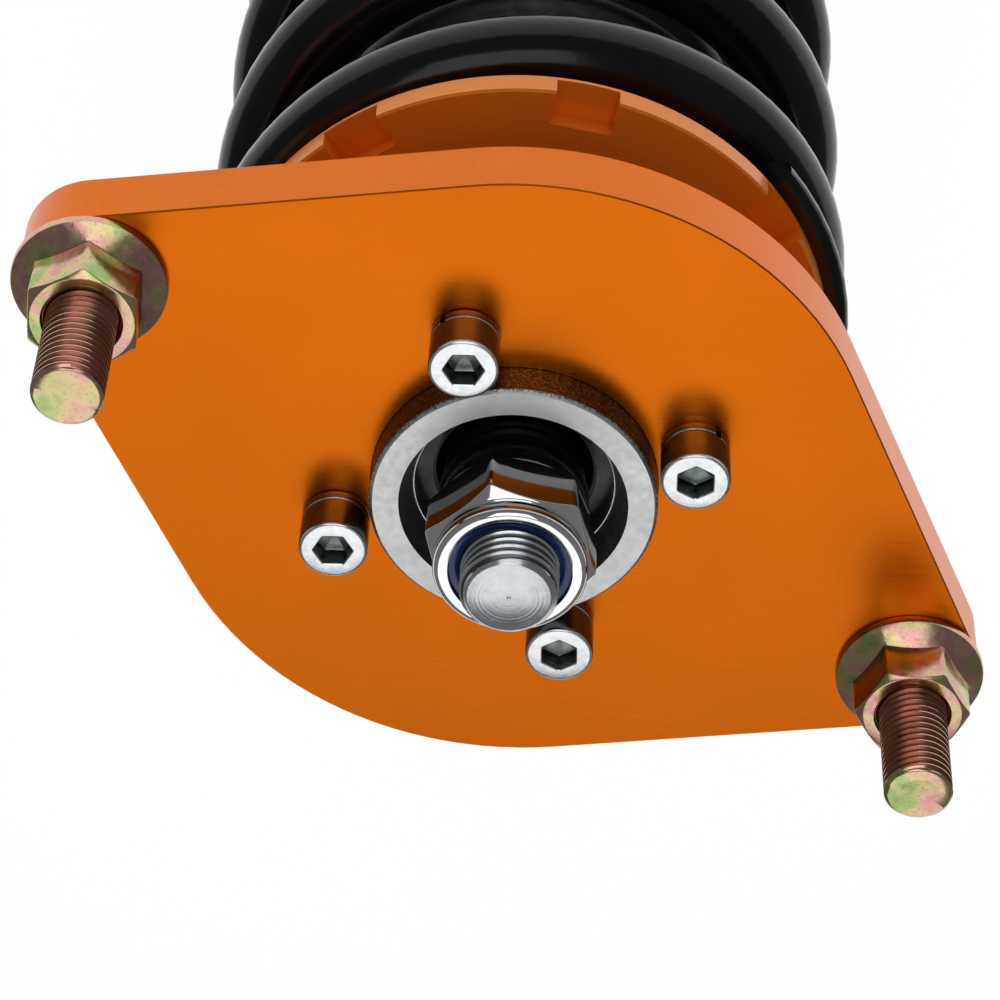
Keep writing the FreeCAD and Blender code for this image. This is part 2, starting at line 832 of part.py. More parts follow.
def make_rod():
    """Piston rod: chromed shaft, shouldered to the top thread and to the piston spigot."""
    base = "rod_end_depth"
    top = base + " + rod_tip_height"
    keep(
        place(
            turned(
                "piston_rod",
                [
                    ("0", "0"),
                    ("rod_spigot_radius", "0"),
                    ("rod_spigot_radius", base + " - rod_step_depth"),
                    ("rod_radius", base + " - rod_step_depth"),
                    ("rod_radius", base + " - rod_shoulder_depth"),
                    ("rod_thread_radius", base + " - rod_shoulder_depth"),
                    ("rod_thread_radius", top + " - rod_tip_chamfer * 0.8"),
                    ("rod_thread_radius - rod_tip_chamfer", top),
                    ("0", top),
                ],
            ),
            below(base),
        )
    )
    washer = turned(
        "seat_washer",
        [
            ("ball_bore_radius", "0"),
            ("seat_washer_radius", "0"),
            ("seat_washer_radius", "seat_washer_thickness"),
            ("ball_bore_radius", "seat_washer_thickness"),
        ],
    )
    keep(place(washer, below("rod_shoulder_depth")))


def notch_ring(body, name, count, radius, width, depth, top, height):
    """Spanner notches cut down into a rim, evenly round it."""

    def notch(sketch):
        inner = "%s - %s" % (radius, depth)
        outer = radius + " + 3"
        half = width + " / 2"
        draw_outline(
            sketch,
            [(inner, "0 - " + half), (outer, "0 - " + half), (outer, half), (inner, half)],
        )

    return polar(body, pocket(body, name, notch, height=top, depth=height), count)


def make_upper_seat():
    """Spring seat: notched rim, locating spigot for the spring and a cup for boot and bump stop."""
    rim_foot = "seat_spigot_height"
    face = rim_foot + " + seat_rim_thickness"
    ceiling = face + " - seat_web_thickness"
    seat = turned(
        "upper_spring_seat",
        [
            ("ball_bore_radius", ceiling),
            ("seat_cup_radius", ceiling),
            ("seat_cup_radius", "0"),
            ("seat_spigot_radius - 1.5", "0"),
            ("seat_spigot_radius", "1.5"),
            ("seat_spigot_radius", rim_foot),
            ("seat_radius", rim_foot),
            ("seat_radius", face + " - seat_break"),
            ("seat_radius - seat_break", face),
            ("seat_hub_radius", face),
            ("seat_hub_radius", face + " + seat_hub_rise - 1"),
            ("seat_hub_radius - 1", face + " + seat_hub_rise"),
            ("ball_bore_radius", face + " + seat_hub_rise"),
        ],
    )
    notch_ring(
        seat,
        "seat_notch",
        "seat_notches",
        "seat_radius",
        "seat_notch_width",
        "seat_notch_depth",
        face,
        "seat_notch_height",
    )
    keep(place(seat, "0 - seat_face_depth - seat_rim_thickness - seat_spigot_height", "seat_clocking"))


def make_bump_stop():
    """Foam bump stop, waisted twice, hung on the rod under the seat."""
    step = "bump_height / 6"
    corners = [("bump_bore_radius", "0"), ("bump_radius - 2", "0")]
    for number in range(1, 6):
        radius = "bump_radius" if number % 2 else "bump_waist_radius"
        corners.append((radius, "%d * %s" % (number, step)))
    corners += [("bump_radius - 1", "bump_height"), ("bump_bore_radius", "bump_height")]
    keep(place(turned("bump_stop", corners), "0 - rod_shoulder_depth - bump_height"))


def make_boot():
    """Pleated dust boot from the seat's cup down over the top of the damper."""
    foot = "boot_lip_height"
    outer = []
    inner = []
    for fold in range(int(size("boot_folds"))):
        root = "%s + %d * boot_fold_pitch" % (foot, fold)
        crest = "%s + %d * boot_fold_pitch + boot_fold_pitch / 2" % (foot, fold)
        outer += [("boot_root_radius", root), ("boot_fold_radius", crest)]
        inner += [("boot_root_radius - boot_wall", root), ("boot_fold_radius - boot_wall", crest)]
    shoulder = foot + " + boot_folds * boot_fold_pitch"
    top = shoulder + " + boot_neck_height"
    corners = [("boot_lip_radius", "0"), ("boot_lip_radius + boot_wall", "0")]
    corners += [("boot_lip_radius + boot_wall", foot + " - 1")] + outer
    corners += [
        ("boot_root_radius", shoulder),
        ("boot_neck_radius", shoulder + " + 1"),
        ("boot_neck_radius", top),
        ("boot_neck_radius - boot_wall", top),
        ("boot_root_radius - boot_wall", shoulder),
    ]
    corners += inner[::-1] + [("boot_lip_radius", foot + " - 1")]
    keep(
        place(
            turned("dust_boot", corners),
            "0 - seat_face_depth - seat_web_thickness - 0.1 - boot_neck_height"
            " - boot_folds * boot_fold_pitch - boot_lip_height",
        )
    )


def spring_length():
    """Length of the spring between its two ground faces."""
    return "2 * wire_radius + 2 * spring_end_lift + spring_active_turns * spring_pitch"


def make_spring():
    """Right-hand coil spring with closed, ground ends; drawn up from its lower ground face."""
    body = new_body("coil_spring")
    end_rise = "spring_end_turns * spring_end_pitch"
    active_rise = "spring_active_turns * spring_pitch"
    wire_foot = "wire_radius + spring_end_lift"
    runs = (
        ("lower_end", "0", wire_foot + " - " + end_rise, "spring_end_pitch", "spring_end_turns"),
        ("active", "spring_end_turns", wire_foot, "spring_pitch", "spring_active_turns"),
        (
            "upper_end",
            "spring_end_turns + spring_active_turns",
            wire_foot + " + " + active_rise,
            "spring_end_pitch",
            "spring_end_turns",
        ),
    )
    for name, start_turns, start_height, pitch, turns in runs:
        sketch = sketch_on(body, "wire_" + name, "XZ_Plane")
        sketch.AttachmentOffset = FreeCAD.Placement(
            FreeCAD.Vector(0, 0, 0), FreeCAD.Rotation(FreeCAD.Vector(0, 1, 0), 1)
        )
        sketch.setExpression("AttachmentOffset.Rotation.Angle", "360 * (%s)" % linked(start_turns))
        draw_circle(sketch, "wire_radius", "spring_radius", start_height)
        coil = body.newObject("PartDesign::AdditiveHelix", "coil_" + name)
        coil.Profile = sketch
        coil.ReferenceAxis = (sketch, ["V_Axis"])
        coil.Mode = 1
        coil.setExpression("Pitch", linked(pitch))
        coil.setExpression("Turns", linked(turns))
        doc.recompute()
    length = spring_length()

    def whole_face(sketch):
        far = "spring_radius + 3 * wire_radius"
        near = "0 - spring_radius - 3 * wire_radius"
        draw_outline(sketch, [(near, near), (far, near), (far, far), (near, far)])

    pocket(body, "lower_ground_face", whole_face, height="0", depth="2 * wire_radius")
    top = pocket(body, "upper_ground_face", whole_face, length, "2 * wire_radius", upwards=True)
    top.Refine = False
    total = "spring_active_turns + 2 * spring_end_turns"
    keep(
        place(
            body,
            "0 - seat_face_depth - seat_rim_thickness - ( %s )" % length,
            "spring_tip_clocking - 360 * ( %s )" % total,
        )
    )


# ---------------------------------------------------------------- damper body


def make_tube():
    """Threaded damper tube with its welded end cap and gas plug."""
    tube = turned(
        "damper_tube",
        [
            ("tube_bore_radius", "0"),
            ("tube_radius - tube_chamfer", "0"),
            ("tube_radius", "tube_chamfer"),
            ("tube_radius", "tube_length - tube_chamfer"),
            ("tube_radius - tube_chamfer", "tube_length"),
            ("tube_bore_radius", "tube_length"),
        ],
    )
    tube_foot = "0 - tube_top_depth - tube_length"
    keep(place(tube, tube_foot))
    cap = turned(
        "tube_end_cap",
        [
            ("gas_plug_bore_radius", "0"),
            ("end_cap_radius", "0"),
            ("end_cap_radius", "end_cap_height"),
            ("gas_plug_bore_radius", "end_cap_height"),
        ],
    )
    keep(place(cap, tube_foot + " + 0.5"))
    plug = turned(
        "gas_plug",
        [
            ("0", "0"),
            ("gas_plug_radius", "0"),
            ("gas_plug_radius", "gas_plug_height"),
            ("0", "gas_plug_height"),
        ],
    )
    keep(place(plug, tube_foot + " + 1.5"))


def make_gland():
    """Gland nut with its wiper, and below it the rod guide with seal, bush and O-ring."""
    plug = "gland_plug_height"
    top = "gland_plug_height + gland_cap_height"
    gland = turned(
        "gland_nut",
        [
            ("gland_bore_radius", "0"),
            ("gland_plug_radius", "0"),
            ("gland_plug_radius", plug),
            ("gland_cap_radius", plug),
            ("gland_cap_radius", top + " - 0.8"),
            ("gland_cap_radius - 0.8", top),
            ("gland_wiper_radius", top),
            ("gland_wiper_radius", top + " - gland_wiper_depth"),
            ("gland_bore_radius", top + " - gland_wiper_depth"),
        ],
    )
    notch_ring(
        gland,
        "gland_notch",
        "gland_notches",
        "gland_cap_radius",
        "gland_notch_width",
        "gland_notch_depth",
        top,
        "gland_notch_height",
    )
    gland_foot = "0 - tube_top_depth - gland_plug_height"
    keep(place(gland, gland_foot))
    wiper = turned(
        "rod_wiper",
        [
            ("wiper_bore_radius + wiper_lip", "0"),
            ("wiper_radius", "0"),
            ("wiper_radius", "wiper_height"),
            ("wiper_bore_radius", "wiper_height"),
            ("wiper_bore_radius", "wiper_height - 0.8"),
            ("wiper_bore_radius + wiper_lip", "wiper_height - 2"),
        ],
    )
    keep(place(wiper, "0 - tube_top_depth + gland_cap_height - gland_wiper_depth"))

    guide_foot = gland_foot + " - guide_height"
    ring_mid = "guide_ring_height"
    guide = turned(
        "rod_guide",
        [
            ("guide_bore_radius", "0"),
            ("guide_radius", "0"),
            ("guide_radius", ring_mid + " - guide_ring_groove_width / 2"),
            ("guide_ring_groove_radius", ring_mid + " - guide_ring_groove_width / 2"),
            ("guide_ring_groove_radius", ring_mid + " + guide_ring_groove_width / 2"),
            ("guide_radius", ring_mid + " + guide_ring_groove_width / 2"),
            ("guide_radius", "guide_height"),
            ("guide_seal_radius", "guide_height"),
            ("guide_seal_radius", "guide_height - guide_seal_depth"),
            ("guide_bore_radius", "guide_height - guide_seal_depth"),
        ],
    )
    keep(place(guide, guide_foot))
    seal = turned(
        "rod_seal",
        [
            ("wiper_bore_radius", "0"),
            ("seal_radius", "0"),
            ("seal_radius", "seal_height"),
            ("wiper_bore_radius", "seal_height"),
        ],
    )
    keep(place(seal, gland_foot + " - guide_seal_depth + 0.05"))
    bush = turned(
        "guide_bush",
        [
            ("wiper_bore_radius", "0"),
            ("bush_radius", "0"),
            ("bush_radius", "bush_height"),
            ("wiper_bore_radius", "bush_height"),
        ],
    )
    keep(place(bush, guide_foot + " + 1"))
    ring = primitive("Part::Torus", "guide_o_ring", Radius1="ring_radius", Radius2="ring_section_radius")
    keep(place(ring, "%s + %s" % (guide_foot, ring_mid)))


def make_piston():
    """Damping piston on the rod's spigot, between its shims, and the nut that holds it."""
    step = below("rod_step_depth")
    plate = turned(
        "shim_stop_plate",
        [
            ("rod_spigot_radius + slip_gap", "0"),
            ("stop_plate_radius", "0"),
            ("stop_plate_radius", "stop_plate_thickness"),
            ("rod_spigot_radius + slip_gap", "stop_plate_thickness"),
        ],
    )
    keep(place(plate, step + " - stop_plate_thickness"))
    stack = "shims * shim_thickness"
    piston_top = "%s - stop_plate_thickness - %s" % (step, stack)
    piston_foot = piston_top + " - piston_height"
    for name, foot, grows in (
        ("compression_shims", piston_top, -1),
        ("rebound_shims", "%s - %s" % (piston_foot, stack), 1),
    ):
        discs = []
        count = int(size("shims"))
        for number in range(count):
            rank = number if grows < 0 else count - 1 - number
            disc = turned(
                "%s_%d" % (name, number + 1),
                [
                    ("rod_spigot_radius + slip_gap", "0"),
                    ("shim_first_radius - %d * shim_step" % rank, "0"),
                    ("shim_first_radius - %d * shim_step" % rank, "shim_thickness - slip_gap"),
                    ("rod_spigot_radius + slip_gap", "shim_thickness - slip_gap"),
                ],
            )
            discs.append(place(disc, "%s + %d * shim_thickness" % (foot, number)))
        keep(together(name, discs))
    middle = "piston_height / 2"
    band = "piston_band_width / 2"
    piston = turned(
        "piston",
        [
            ("rod_spigot_radius + slip_gap", "0"),
            ("piston_radius", "0"),
            ("piston_radius", "%s - %s" % (middle, band)),
            ("piston_band_groove", "%s - %s" % (middle, band)),
            ("piston_band_groove", "%s + %s" % (middle, band)),
            ("piston_radius", "%s + %s" % (middle, band)),
            ("piston_radius", "piston_height"),
            ("rod_spigot_radius + slip_gap", "piston_height"),
        ],
    )

    def port(sketch):
        draw_circle(sketch, "piston_port_radius", "piston_port_circle")

    polar(piston, pocket(piston, "piston_port", port), "piston_ports")
    keep(place(piston, piston_foot))
    ring = turned(
        "piston_band",
        [
            ("piston_band_groove + slip_gap", "0"),
            ("piston_band_radius", "0"),
            ("piston_band_radius", "piston_band_width - 0.1"),
            ("piston_band_groove + slip_gap", "piston_band_width - 0.1"),
        ],
    )
    keep(place(ring, "%s + %s - %s + 0.05" % (piston_foot, middle, band)))
    nut = new_body("piston_nut")
    pad(nut, "piston_nut_hex", lambda sketch: draw_hexagon(sketch, "piston_nut_flats"), "piston_nut_height")
    hex_chamfers(nut, "piston_nut_flats", "piston_nut_height")
    pocket(nut, "piston_nut_bore", lambda sketch: draw_circle(sketch, "rod_spigot_radius + slip_gap"))
    keep(place(nut, "%s - %s - piston_nut_height" % (piston_foot, stack)))

    stop = turned(
        "rebound_stop",
        [
            ("rod_radius + slip_gap", "0"),
            ("rebound_stop_radius - 1", "0"),
            ("rebound_stop_radius", "1"),
            ("rebound_stop_radius", "rebound_stop_height - 1"),
            ("rebound_stop_radius - 1", "rebound_stop_height"),
            ("rod_radius + slip_gap", "rebound_stop_height"),
        ],
    )
    guide_foot = "0 - tube_top_depth - gland_plug_height - guide_height"
    keep(place(stop, guide_foot + " - rebound_stop_gap - rebound_stop_height"))


def make_floating_piston():
    """Dished piston between oil and gas, with its O-ring."""
    middle = "float_piston_height / 2"
    half = "guide_ring_groove_width / 2"
    piston = turned(
        "floating_piston",
        [
            ("0", "0"),
            ("float_piston_radius - 1", "0"),
            ("float_piston_radius", "1"),
            ("float_piston_radius", "%s - %s" % (middle, half)),
            ("guide_ring_groove_radius", "%s - %s" % (middle, half)),
            ("guide_ring_groove_radius", "%s + %s" % (middle, half)),
            ("float_piston_radius", "%s + %s" % (middle, half)),
            ("float_piston_radius", "float_piston_height"),
            ("float_dish_radius + 1", "float_piston_height"),
            ("float_dish_radius", "float_piston_height - float_dish_depth"),
            ("0", "float_piston_height - float_dish_depth"),
        ],
    )
    foot = "0 - float_piston_depth - float_piston_height"
    keep(place(piston, foot))
    ring = primitive(
        "Part::Torus", "floating_piston_o_ring", Radius1="ring_radius", Radius2="ring_section_radius"
    )
    keep(place(ring, "%s + %s" % (foot, middle)))


# ---------------------------------------------------------------- perch, lock rings, bracket


def spring_foot():
    """Height of the spring's lower ground face."""
    return "0 - seat_face_depth - seat_rim_thickness - ( %s )" % spring_length()


def make_perch():
    """Threaded spring perch with its slip ring, and the lock ring under it."""
    isolator = turned(
        "spring_isolator",
        [
            ("isolator_inner_radius", "0"),
            ("isolator_outer_radius - 0.5", "0"),
            ("isolator_outer_radius", "0.5"),
            ("isolator_outer_radius", "isolator_thickness - 0.5"),
            ("isolator_outer_radius - 0.5", "isolator_thickness"),
            ("isolator_inner_radius", "isolator_thickness"),
        ],
    )
    foot = spring_foot() + " - isolator_thickness"
    keep(place(isolator, foot))
    flange_foot = "perch_hub_height"
    face = "perch_hub_height + perch_rim_thickness"
    top = face + " + perch_spigot_rise"
    perch = turned(
        "spring_perch",
        [
            ("perch_bore_radius", "0"),
            ("perch_hub_radius - 1", "0"),
            ("perch_hub_radius", "1"),
            ("perch_hub_radius", flange_foot + " - 2"),
            ("perch_hub_radius + 2", flange_foot),
            ("seat_radius - seat_break", flange_foot),
            ("seat_radius", flange_foot + " + seat_break"),
            ("seat_radius", face + " - seat_break"),
            ("seat_radius - seat_break", face),
            ("seat_spigot_radius", face),
            ("seat_spigot_radius", top + " - 1.5"),
            ("seat_spigot_radius - 1.5", top),
            ("perch_bore_radius", top),
        ],
    )
    notch_ring(
        perch,
        "perch_notch",
        "seat_notches",
        "seat_radius",
        "seat_notch_width",
        "seat_notch_depth",
        face,
        "2 * perch_rim_thickness",
    )
    perch_foot = foot + " - perch_rim_thickness - perch_hub_height"
    keep(place(perch, perch_foot))
    lock_ring("perch_lock_ring", perch_foot + " - lock_ring_height", "perch_ring_clocking")


def lock_ring(name, foot, clocking):
    """Thin threaded ring with spanner notches."""
    ring = turned(
        name,
        [
            ("perch_bore_radius", "0"),
            ("lock_ring_radius - 0.8", "0"),
            ("lock_ring_radius", "0.8"),
            ("lock_ring_radius", "lock_ring_height - 0.8"),
            ("lock_ring_radius - 0.8", "lock_ring_height"),
            ("perch_bore_radius", "lock_ring_height"),
        ],
    )
    notch_ring(
        ring,
        name + "_notch",
        "lock_notches",
        "lock_ring_radius",
        "lock_notch_width",
        "lock_notch_depth",
        "lock_ring_height",
        "2 * lock_ring_height",
    )
    keep(place(ring, foot, clocking))


def make_bracket():
    """Lower bracket: threaded socket for the damper body, neck and bush eye across X."""
    bracket = new_body("lower_bracket")
    top = "bracket_top_rise"
    revolve(
        bracket,
        "bracket_socket",
        [
            ("0", "eye_radius - 6"),
            ("bracket_neck_radius - 2", "eye_radius - 6"),
            ("bracket_neck_radius", "bracket_neck_rise"),
            ("bracket_radius", "bracket_bore_floor"),
            ("bracket_radius", top + " - 1"),
            ("bracket_radius - 1", top),
            ("perch_bore_radius", top),
            ("perch_bore_radius", "bracket_bore_floor"),
            ("0", "bracket_bore_floor"),
        ],
    )

    def across(name, radius, kind):
        sketch = sketch_on(bracket, name + "_outline", "YZ_Plane")
        draw_circle(sketch, radius)
        feature = bracket.newObject(kind, name)
        feature.Profile = sketch
        feature.Midplane = True
        return feature

    across("eye", "eye_radius", "PartDesign::Pad").setExpression("Length", linked("eye_width"))
    doc.recompute()
    whole = bracket.Shape.Volume
    across("eye_bore", "eye_bore_radius", "PartDesign::Pocket").Type = "ThroughAll"
    doc.recompute()
    if bracket.Shape.Volume > whole - 1:
        raise RuntimeError("the eye's bore cuts nothing")
    keep(place(bracket, below("eye_depth")))
    lock_ring("bracket_lock_ring", below("bracket_ring_depth"), "bracket_ring_clocking")


def crosswise_ring(name, radius, bore, width):
    """A plain ring whose axis is the eye's, along X."""
    solid = primitive("Part::Cylinder", name + "_blank", Radius=radius, Height=width)
    hole = primitive("Part::Cylinder", name + "_hole", Radius=bore, Height=width + " + 2")
    for cylinder, overhang in ((solid, "0"), (hole, "1")):
        cylinder.Placement = FreeCAD.Placement(
            FreeCAD.Vector(0, 0, 0), FreeCAD.Rotation(FreeCAD.Vector(0, 1, 0), 90)
        )
        cylinder.setExpression("Placement.Base.x", linked("0 - %s / 2 - %s" % (width, overhang)))
        cylinder.setExpression("Placement.Base.z", linked(below("eye_depth")))
    keep(boolean("Part::Cut", name, solid, hole))


make_plate()
make_studs()
make_stud_nuts()
make_screws()
make_housing()
make_bearing()
make_spacers()
make_rod_nut()
make_rod()
make_upper_seat()
make_bump_stop()
make_boot()
make_spring()
make_tube()
make_gland()
make_piston()
make_floating_piston()
make_perch()
make_bracket()
crosswise_ring("bush_shell", "shell_radius", "shell_bore_radius", "eye_width")
crosswise_ring("bush_rubber", "rubber_radius", "rubber_bore_radius", "rubber_width")
crosswise_ring("bush_sleeve", "sleeve_radius", "sleeve_bore_radius", "sleeve_width")
doc.recompute()

for item in doc.Objects:
    if "Invalid" in item.State or "Error" in item.State:
        raise RuntimeError("%s is left %s" % (item.Name, item.State))
for name, node in nodes.items():
    if node.Shape.isNull() or not node.Shape.isValid() or not node.Shape.Solids:
        raise RuntimeError(name + " is not a valid solid")

os.makedirs("parts", exist_ok=True)
for name, node in nodes.items():
    node.Shape.exportStep("parts/%s.step" % name)
    box = node.Shape.BoundBox
    print("%-24s %d solid(s)  z %8.2f to %8.2f" % (name, len(node.Shape.Solids), box.ZMin, box.ZMax))
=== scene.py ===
import json
import math

import bmesh
import bpy
from mathutils import Matrix, Vector


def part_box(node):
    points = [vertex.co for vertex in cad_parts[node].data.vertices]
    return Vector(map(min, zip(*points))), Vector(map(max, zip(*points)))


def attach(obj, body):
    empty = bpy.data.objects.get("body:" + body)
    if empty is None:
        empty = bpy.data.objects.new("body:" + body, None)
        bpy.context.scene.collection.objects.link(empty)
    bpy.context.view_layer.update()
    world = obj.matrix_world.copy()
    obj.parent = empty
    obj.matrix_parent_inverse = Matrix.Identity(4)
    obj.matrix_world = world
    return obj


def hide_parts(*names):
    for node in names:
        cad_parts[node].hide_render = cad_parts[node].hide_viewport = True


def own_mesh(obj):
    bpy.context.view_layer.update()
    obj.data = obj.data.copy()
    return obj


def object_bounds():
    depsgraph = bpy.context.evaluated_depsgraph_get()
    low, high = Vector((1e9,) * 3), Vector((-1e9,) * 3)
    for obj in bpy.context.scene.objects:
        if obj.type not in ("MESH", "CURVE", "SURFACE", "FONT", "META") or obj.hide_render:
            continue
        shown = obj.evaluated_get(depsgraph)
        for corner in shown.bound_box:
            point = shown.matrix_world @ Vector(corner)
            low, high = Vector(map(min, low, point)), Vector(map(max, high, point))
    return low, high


# A coilover strut seen from above its top mount. Everything is in metres in the part's own frame:
# +Z up the strut, the origin in the plane of the mount plate's upper face, +X through the studs.
# CAD nodes whose shape is right keep their mesh and get a material. Fasteners, threads, the spring,
# the boot and the bush's rubber are modelled here and stand for their CAD nodes.

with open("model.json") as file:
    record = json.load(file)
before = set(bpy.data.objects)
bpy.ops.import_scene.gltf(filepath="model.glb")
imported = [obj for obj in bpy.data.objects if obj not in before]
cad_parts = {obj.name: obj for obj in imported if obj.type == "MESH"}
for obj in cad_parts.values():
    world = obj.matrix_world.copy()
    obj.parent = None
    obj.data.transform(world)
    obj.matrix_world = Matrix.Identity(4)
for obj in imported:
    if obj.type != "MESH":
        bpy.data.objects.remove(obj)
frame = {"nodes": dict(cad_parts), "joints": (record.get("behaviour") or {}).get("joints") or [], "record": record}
cad_low, cad_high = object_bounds()

MM = 0.001
FULL_TURN = 2 * math.pi
GRAIN_TURN = math.radians(30)  # the plate's brushed grain, from the stud line
COLLAR_RADIUS = 20.75 * MM  # the bearing housing's collar above the plate
CORNER_CHAMFER = math.tan(math.radians(30))  # slope of the chamfer over a hexagon's corners
CHAMFER_START = 0.485  # radius where that chamfer starts, as a share of the width across flats
CORNER_TRIM = 0.988  # how much of a hexagon's corner radius its rounding leaves


# ---------------------------------------------------------------- materials


class Finish:
    """A Principled material being wired up over object coordinates in metres."""

    def __init__(self, name, **sockets):
        self.material = bpy.data.materials.new(name)
        self.material.use_nodes = True
        self.tree = self.material.node_tree
        self.shader = self.tree.nodes["Principled BSDF"]
        self.place = self.tree.nodes.new("ShaderNodeTexCoord").outputs["Object"]
        for name_of_socket, value in sockets.items():
            self.shader.inputs[name_of_socket.replace("_", " ")].default_value = value

    def node(self, kind, **settings):
        made = self.tree.nodes.new("ShaderNode" + kind)
        for attribute, value in settings.items():
            setattr(made, attribute, value)
        return made

    def join(self, output, socket):
        self.tree.links.new(output, socket)

    def cells(self, size, turn=0.0, shift=0.0):
        """Coordinates counted in cells of a size, turned about Z, shifted to vary the pattern."""
        mapping = self.node("Mapping", vector_type="TEXTURE")
        mapping.inputs["Scale"].default_value = size
        mapping.inputs["Rotation"].default_value = (0, 0, turn)
        mapping.inputs["Location"].default_value = (shift, shift, shift)
        self.join(self.place, mapping.inputs["Vector"])
        return mapping.outputs["Vector"]

    def noise(self, size, turn=0.0, detail=3.0, shift=0.0):
        """Cloudy grey, with features of a size in metres, one number or one for each axis."""
        size = size if isinstance(size, tuple) else (size,) * 3
        texture = self.node("TexNoise")
        texture.inputs["Scale"].default_value = 1.0
        texture.inputs["Detail"].default_value = detail
        self.join(self.cells(size, turn, shift), texture.inputs["Vector"])
        return texture.outputs["Fac"]

    def pits(self, size):
        """Rounded cells, for foam and cast skin."""
        texture = self.node("TexVoronoi", feature="SMOOTH_F1")
        texture.inputs["Scale"].default_value = 1.0
        self.join(self.cells((size,) * 3), texture.inputs["Vector"])
        return texture.outputs["Distance"]

    def from_axis(self):
        """The distance from the Z axis, in metres."""
        flat = self.node("VectorMath", operation="MULTIPLY")
        self.join(self.place, flat.inputs[0])
        flat.inputs[1].default_value = (1, 1, 0)
        length = self.node("VectorMath", operation="LENGTH")
        self.join(flat.outputs[0], length.inputs[0])
        return length.outputs["Value"]

    def tool_marks(self, size):
        """Fine rings about the Z axis."""
        count = self.node("Math", operation="DIVIDE")
        self.join(self.from_axis(), count.inputs[0])
        count.inputs[1].default_value = size
        texture = self.node("TexNoise", noise_dimensions="1D")
        texture.inputs["Scale"].default_value = 1.0
        texture.inputs["Detail"].default_value = 2.0
        self.join(count.outputs[0], texture.inputs["W"])
        return texture.outputs["Fac"]

    def ramp(self, value, *stops):
        """Greys or colours spread over a value."""
        made = self.node("ValToRGB")
        band = made.color_ramp
        while len(band.elements) < len(stops):
            band.elements.new(0.5)
        for element, (spot, tone) in zip(band.elements, stops):
            element.position = spot
            element.color = (*tone, 1) if isinstance(tone, tuple) else (tone, tone, tone, 1)
        self.join(value, made.inputs["Fac"])
        return made.outputs["Color"]

    def colour(self, output):
        self.join(output, self.shader.inputs["Base Color"])
        return self

    def shade(self, greys):
        """Darkens the colour so far by a pattern of greys."""
        before = self.shader.inputs["Base Color"].links[0].from_socket
        product = self.node("Mix", data_type="RGBA", blend_type="MULTIPLY")
        share, first, second = product.inputs[0], product.inputs[6], product.inputs[7]
        share.default_value = 1.0
        self.join(before, first)
        self.join(greys, second)
        return self.colour(product.outputs[2])

    def painted_side_shade(self, grey):
        """Paints shade on the surfaces that stand upright, darkening them below the faces."""
        facing = self.node("TexCoord").outputs["Normal"]
        parts = self.node("SeparateXYZ")
        self.join(facing, parts.inputs[0])
        upward = self.node("Math", operation="ABSOLUTE")
        self.join(parts.outputs["Z"], upward.inputs[0])
        return self.shade(self.ramp(upward.outputs[0], (0.1, grey), (0.75, 1.0)))

    def ragged_edge(self, radius, reach, size, grey):
        """Small dark chips, more of them towards and past a circle about Z."""
        band = self.node("MapRange")
        self.join(self.from_axis(), band.inputs["Value"])
        band.inputs["From Min"].default_value = radius - reach
        band.inputs["From Max"].default_value = radius
        chips = self.node("Math", operation="MULTIPLY")
        self.join(band.outputs[0], chips.inputs[0])
        self.join(self.noise(size, detail=5.0), chips.inputs[1])
        return self.shade(self.ramp(chips.outputs[0], (0.42, 1.0), (0.5, grey)))

    def roughness(self, value, low, high):
        """Roughness that follows a grey pattern between two values."""
        self.join(self.ramp(value, (0.3, low), (0.7, high)), self.shader.inputs["Roughness"])
        return self

    def bump(self, height, distance, strength=1.0):
        """Raises the surface by a grey pattern, over any bump already there."""
        made = self.node("Bump")
        made.inputs["Distance"].default_value = distance
        made.inputs["Strength"].default_value = strength
        self.join(height, made.inputs["Height"])
        before = self.shader.inputs["Normal"].links
        if before:
            self.join(before[0].from_socket, made.inputs["Normal"])
        self.join(made.outputs["Normal"], self.shader.inputs["Normal"])
        return self


def metal(name, light, dark, patch, smooth, rough):
    """A metal whose tone and gloss wander in soft patches."""
    finish = Finish(name, Metallic=1.0)
    patches = finish.noise(patch)
    finish.colour(finish.ramp(patches, (0.3, dark), (0.7, light)))
    finish.roughness(finish.noise(patch / 3, shift=0.4), smooth, rough)
    return finish


def orange_anodise(name, deep, bright, metallic, grain=None):
    """Dyed anodising: brushed grain across a plate, or tool marks round a turned piece."""
    finish = Finish(name, Metallic=metallic, Coat_Weight=0.06, Coat_Roughness=0.25)
    length, width = 26 * MM, 0.12 * MM
    if grain is None:
        lines = finish.tool_marks(width)
    else:
        lines = finish.noise((length, width, width), grain, 4.0)
    finish.colour(finish.ramp(lines, (0.25, deep), (0.75, bright)))
    cloud = finish.noise(30 * MM, detail=2.0)
    finish.shade(finish.ramp(cloud, (0.3, 0.93), (0.7, 1.0)))
    finish.roughness(lines, 0.26, 0.36)
    finish.bump(lines, 0.008 * MM, 0.7)
    return finish.material


def yellow_zinc():
    """Iridescent chromate over zinc: gold, with pink and green where the film thickens."""
    finish = Finish("yellow_zinc", Metallic=1.0)
    film = finish.noise(6 * MM, detail=2.5)
    tones = (
        (0.34, (0.36, 0.46, 0.18)),
        (0.43, (0.60, 0.52, 0.25)),
        (0.50, (0.68, 0.46, 0.30)),
        (0.57, (0.66, 0.34, 0.32)),
        (0.66, (0.50, 0.44, 0.21)),
    )
    finish.colour(finish.ramp(film, *tones))
    specks = finish.noise(0.5 * MM, detail=4.0)
    finish.shade(finish.ramp(specks, (0.30, 0.70), (0.44, 1.0)))
    finish.roughness(finish.noise(1.2 * MM), 0.14, 0.26)
    finish.bump(finish.noise(0.35 * MM), 0.006 * MM)
    return finish.material


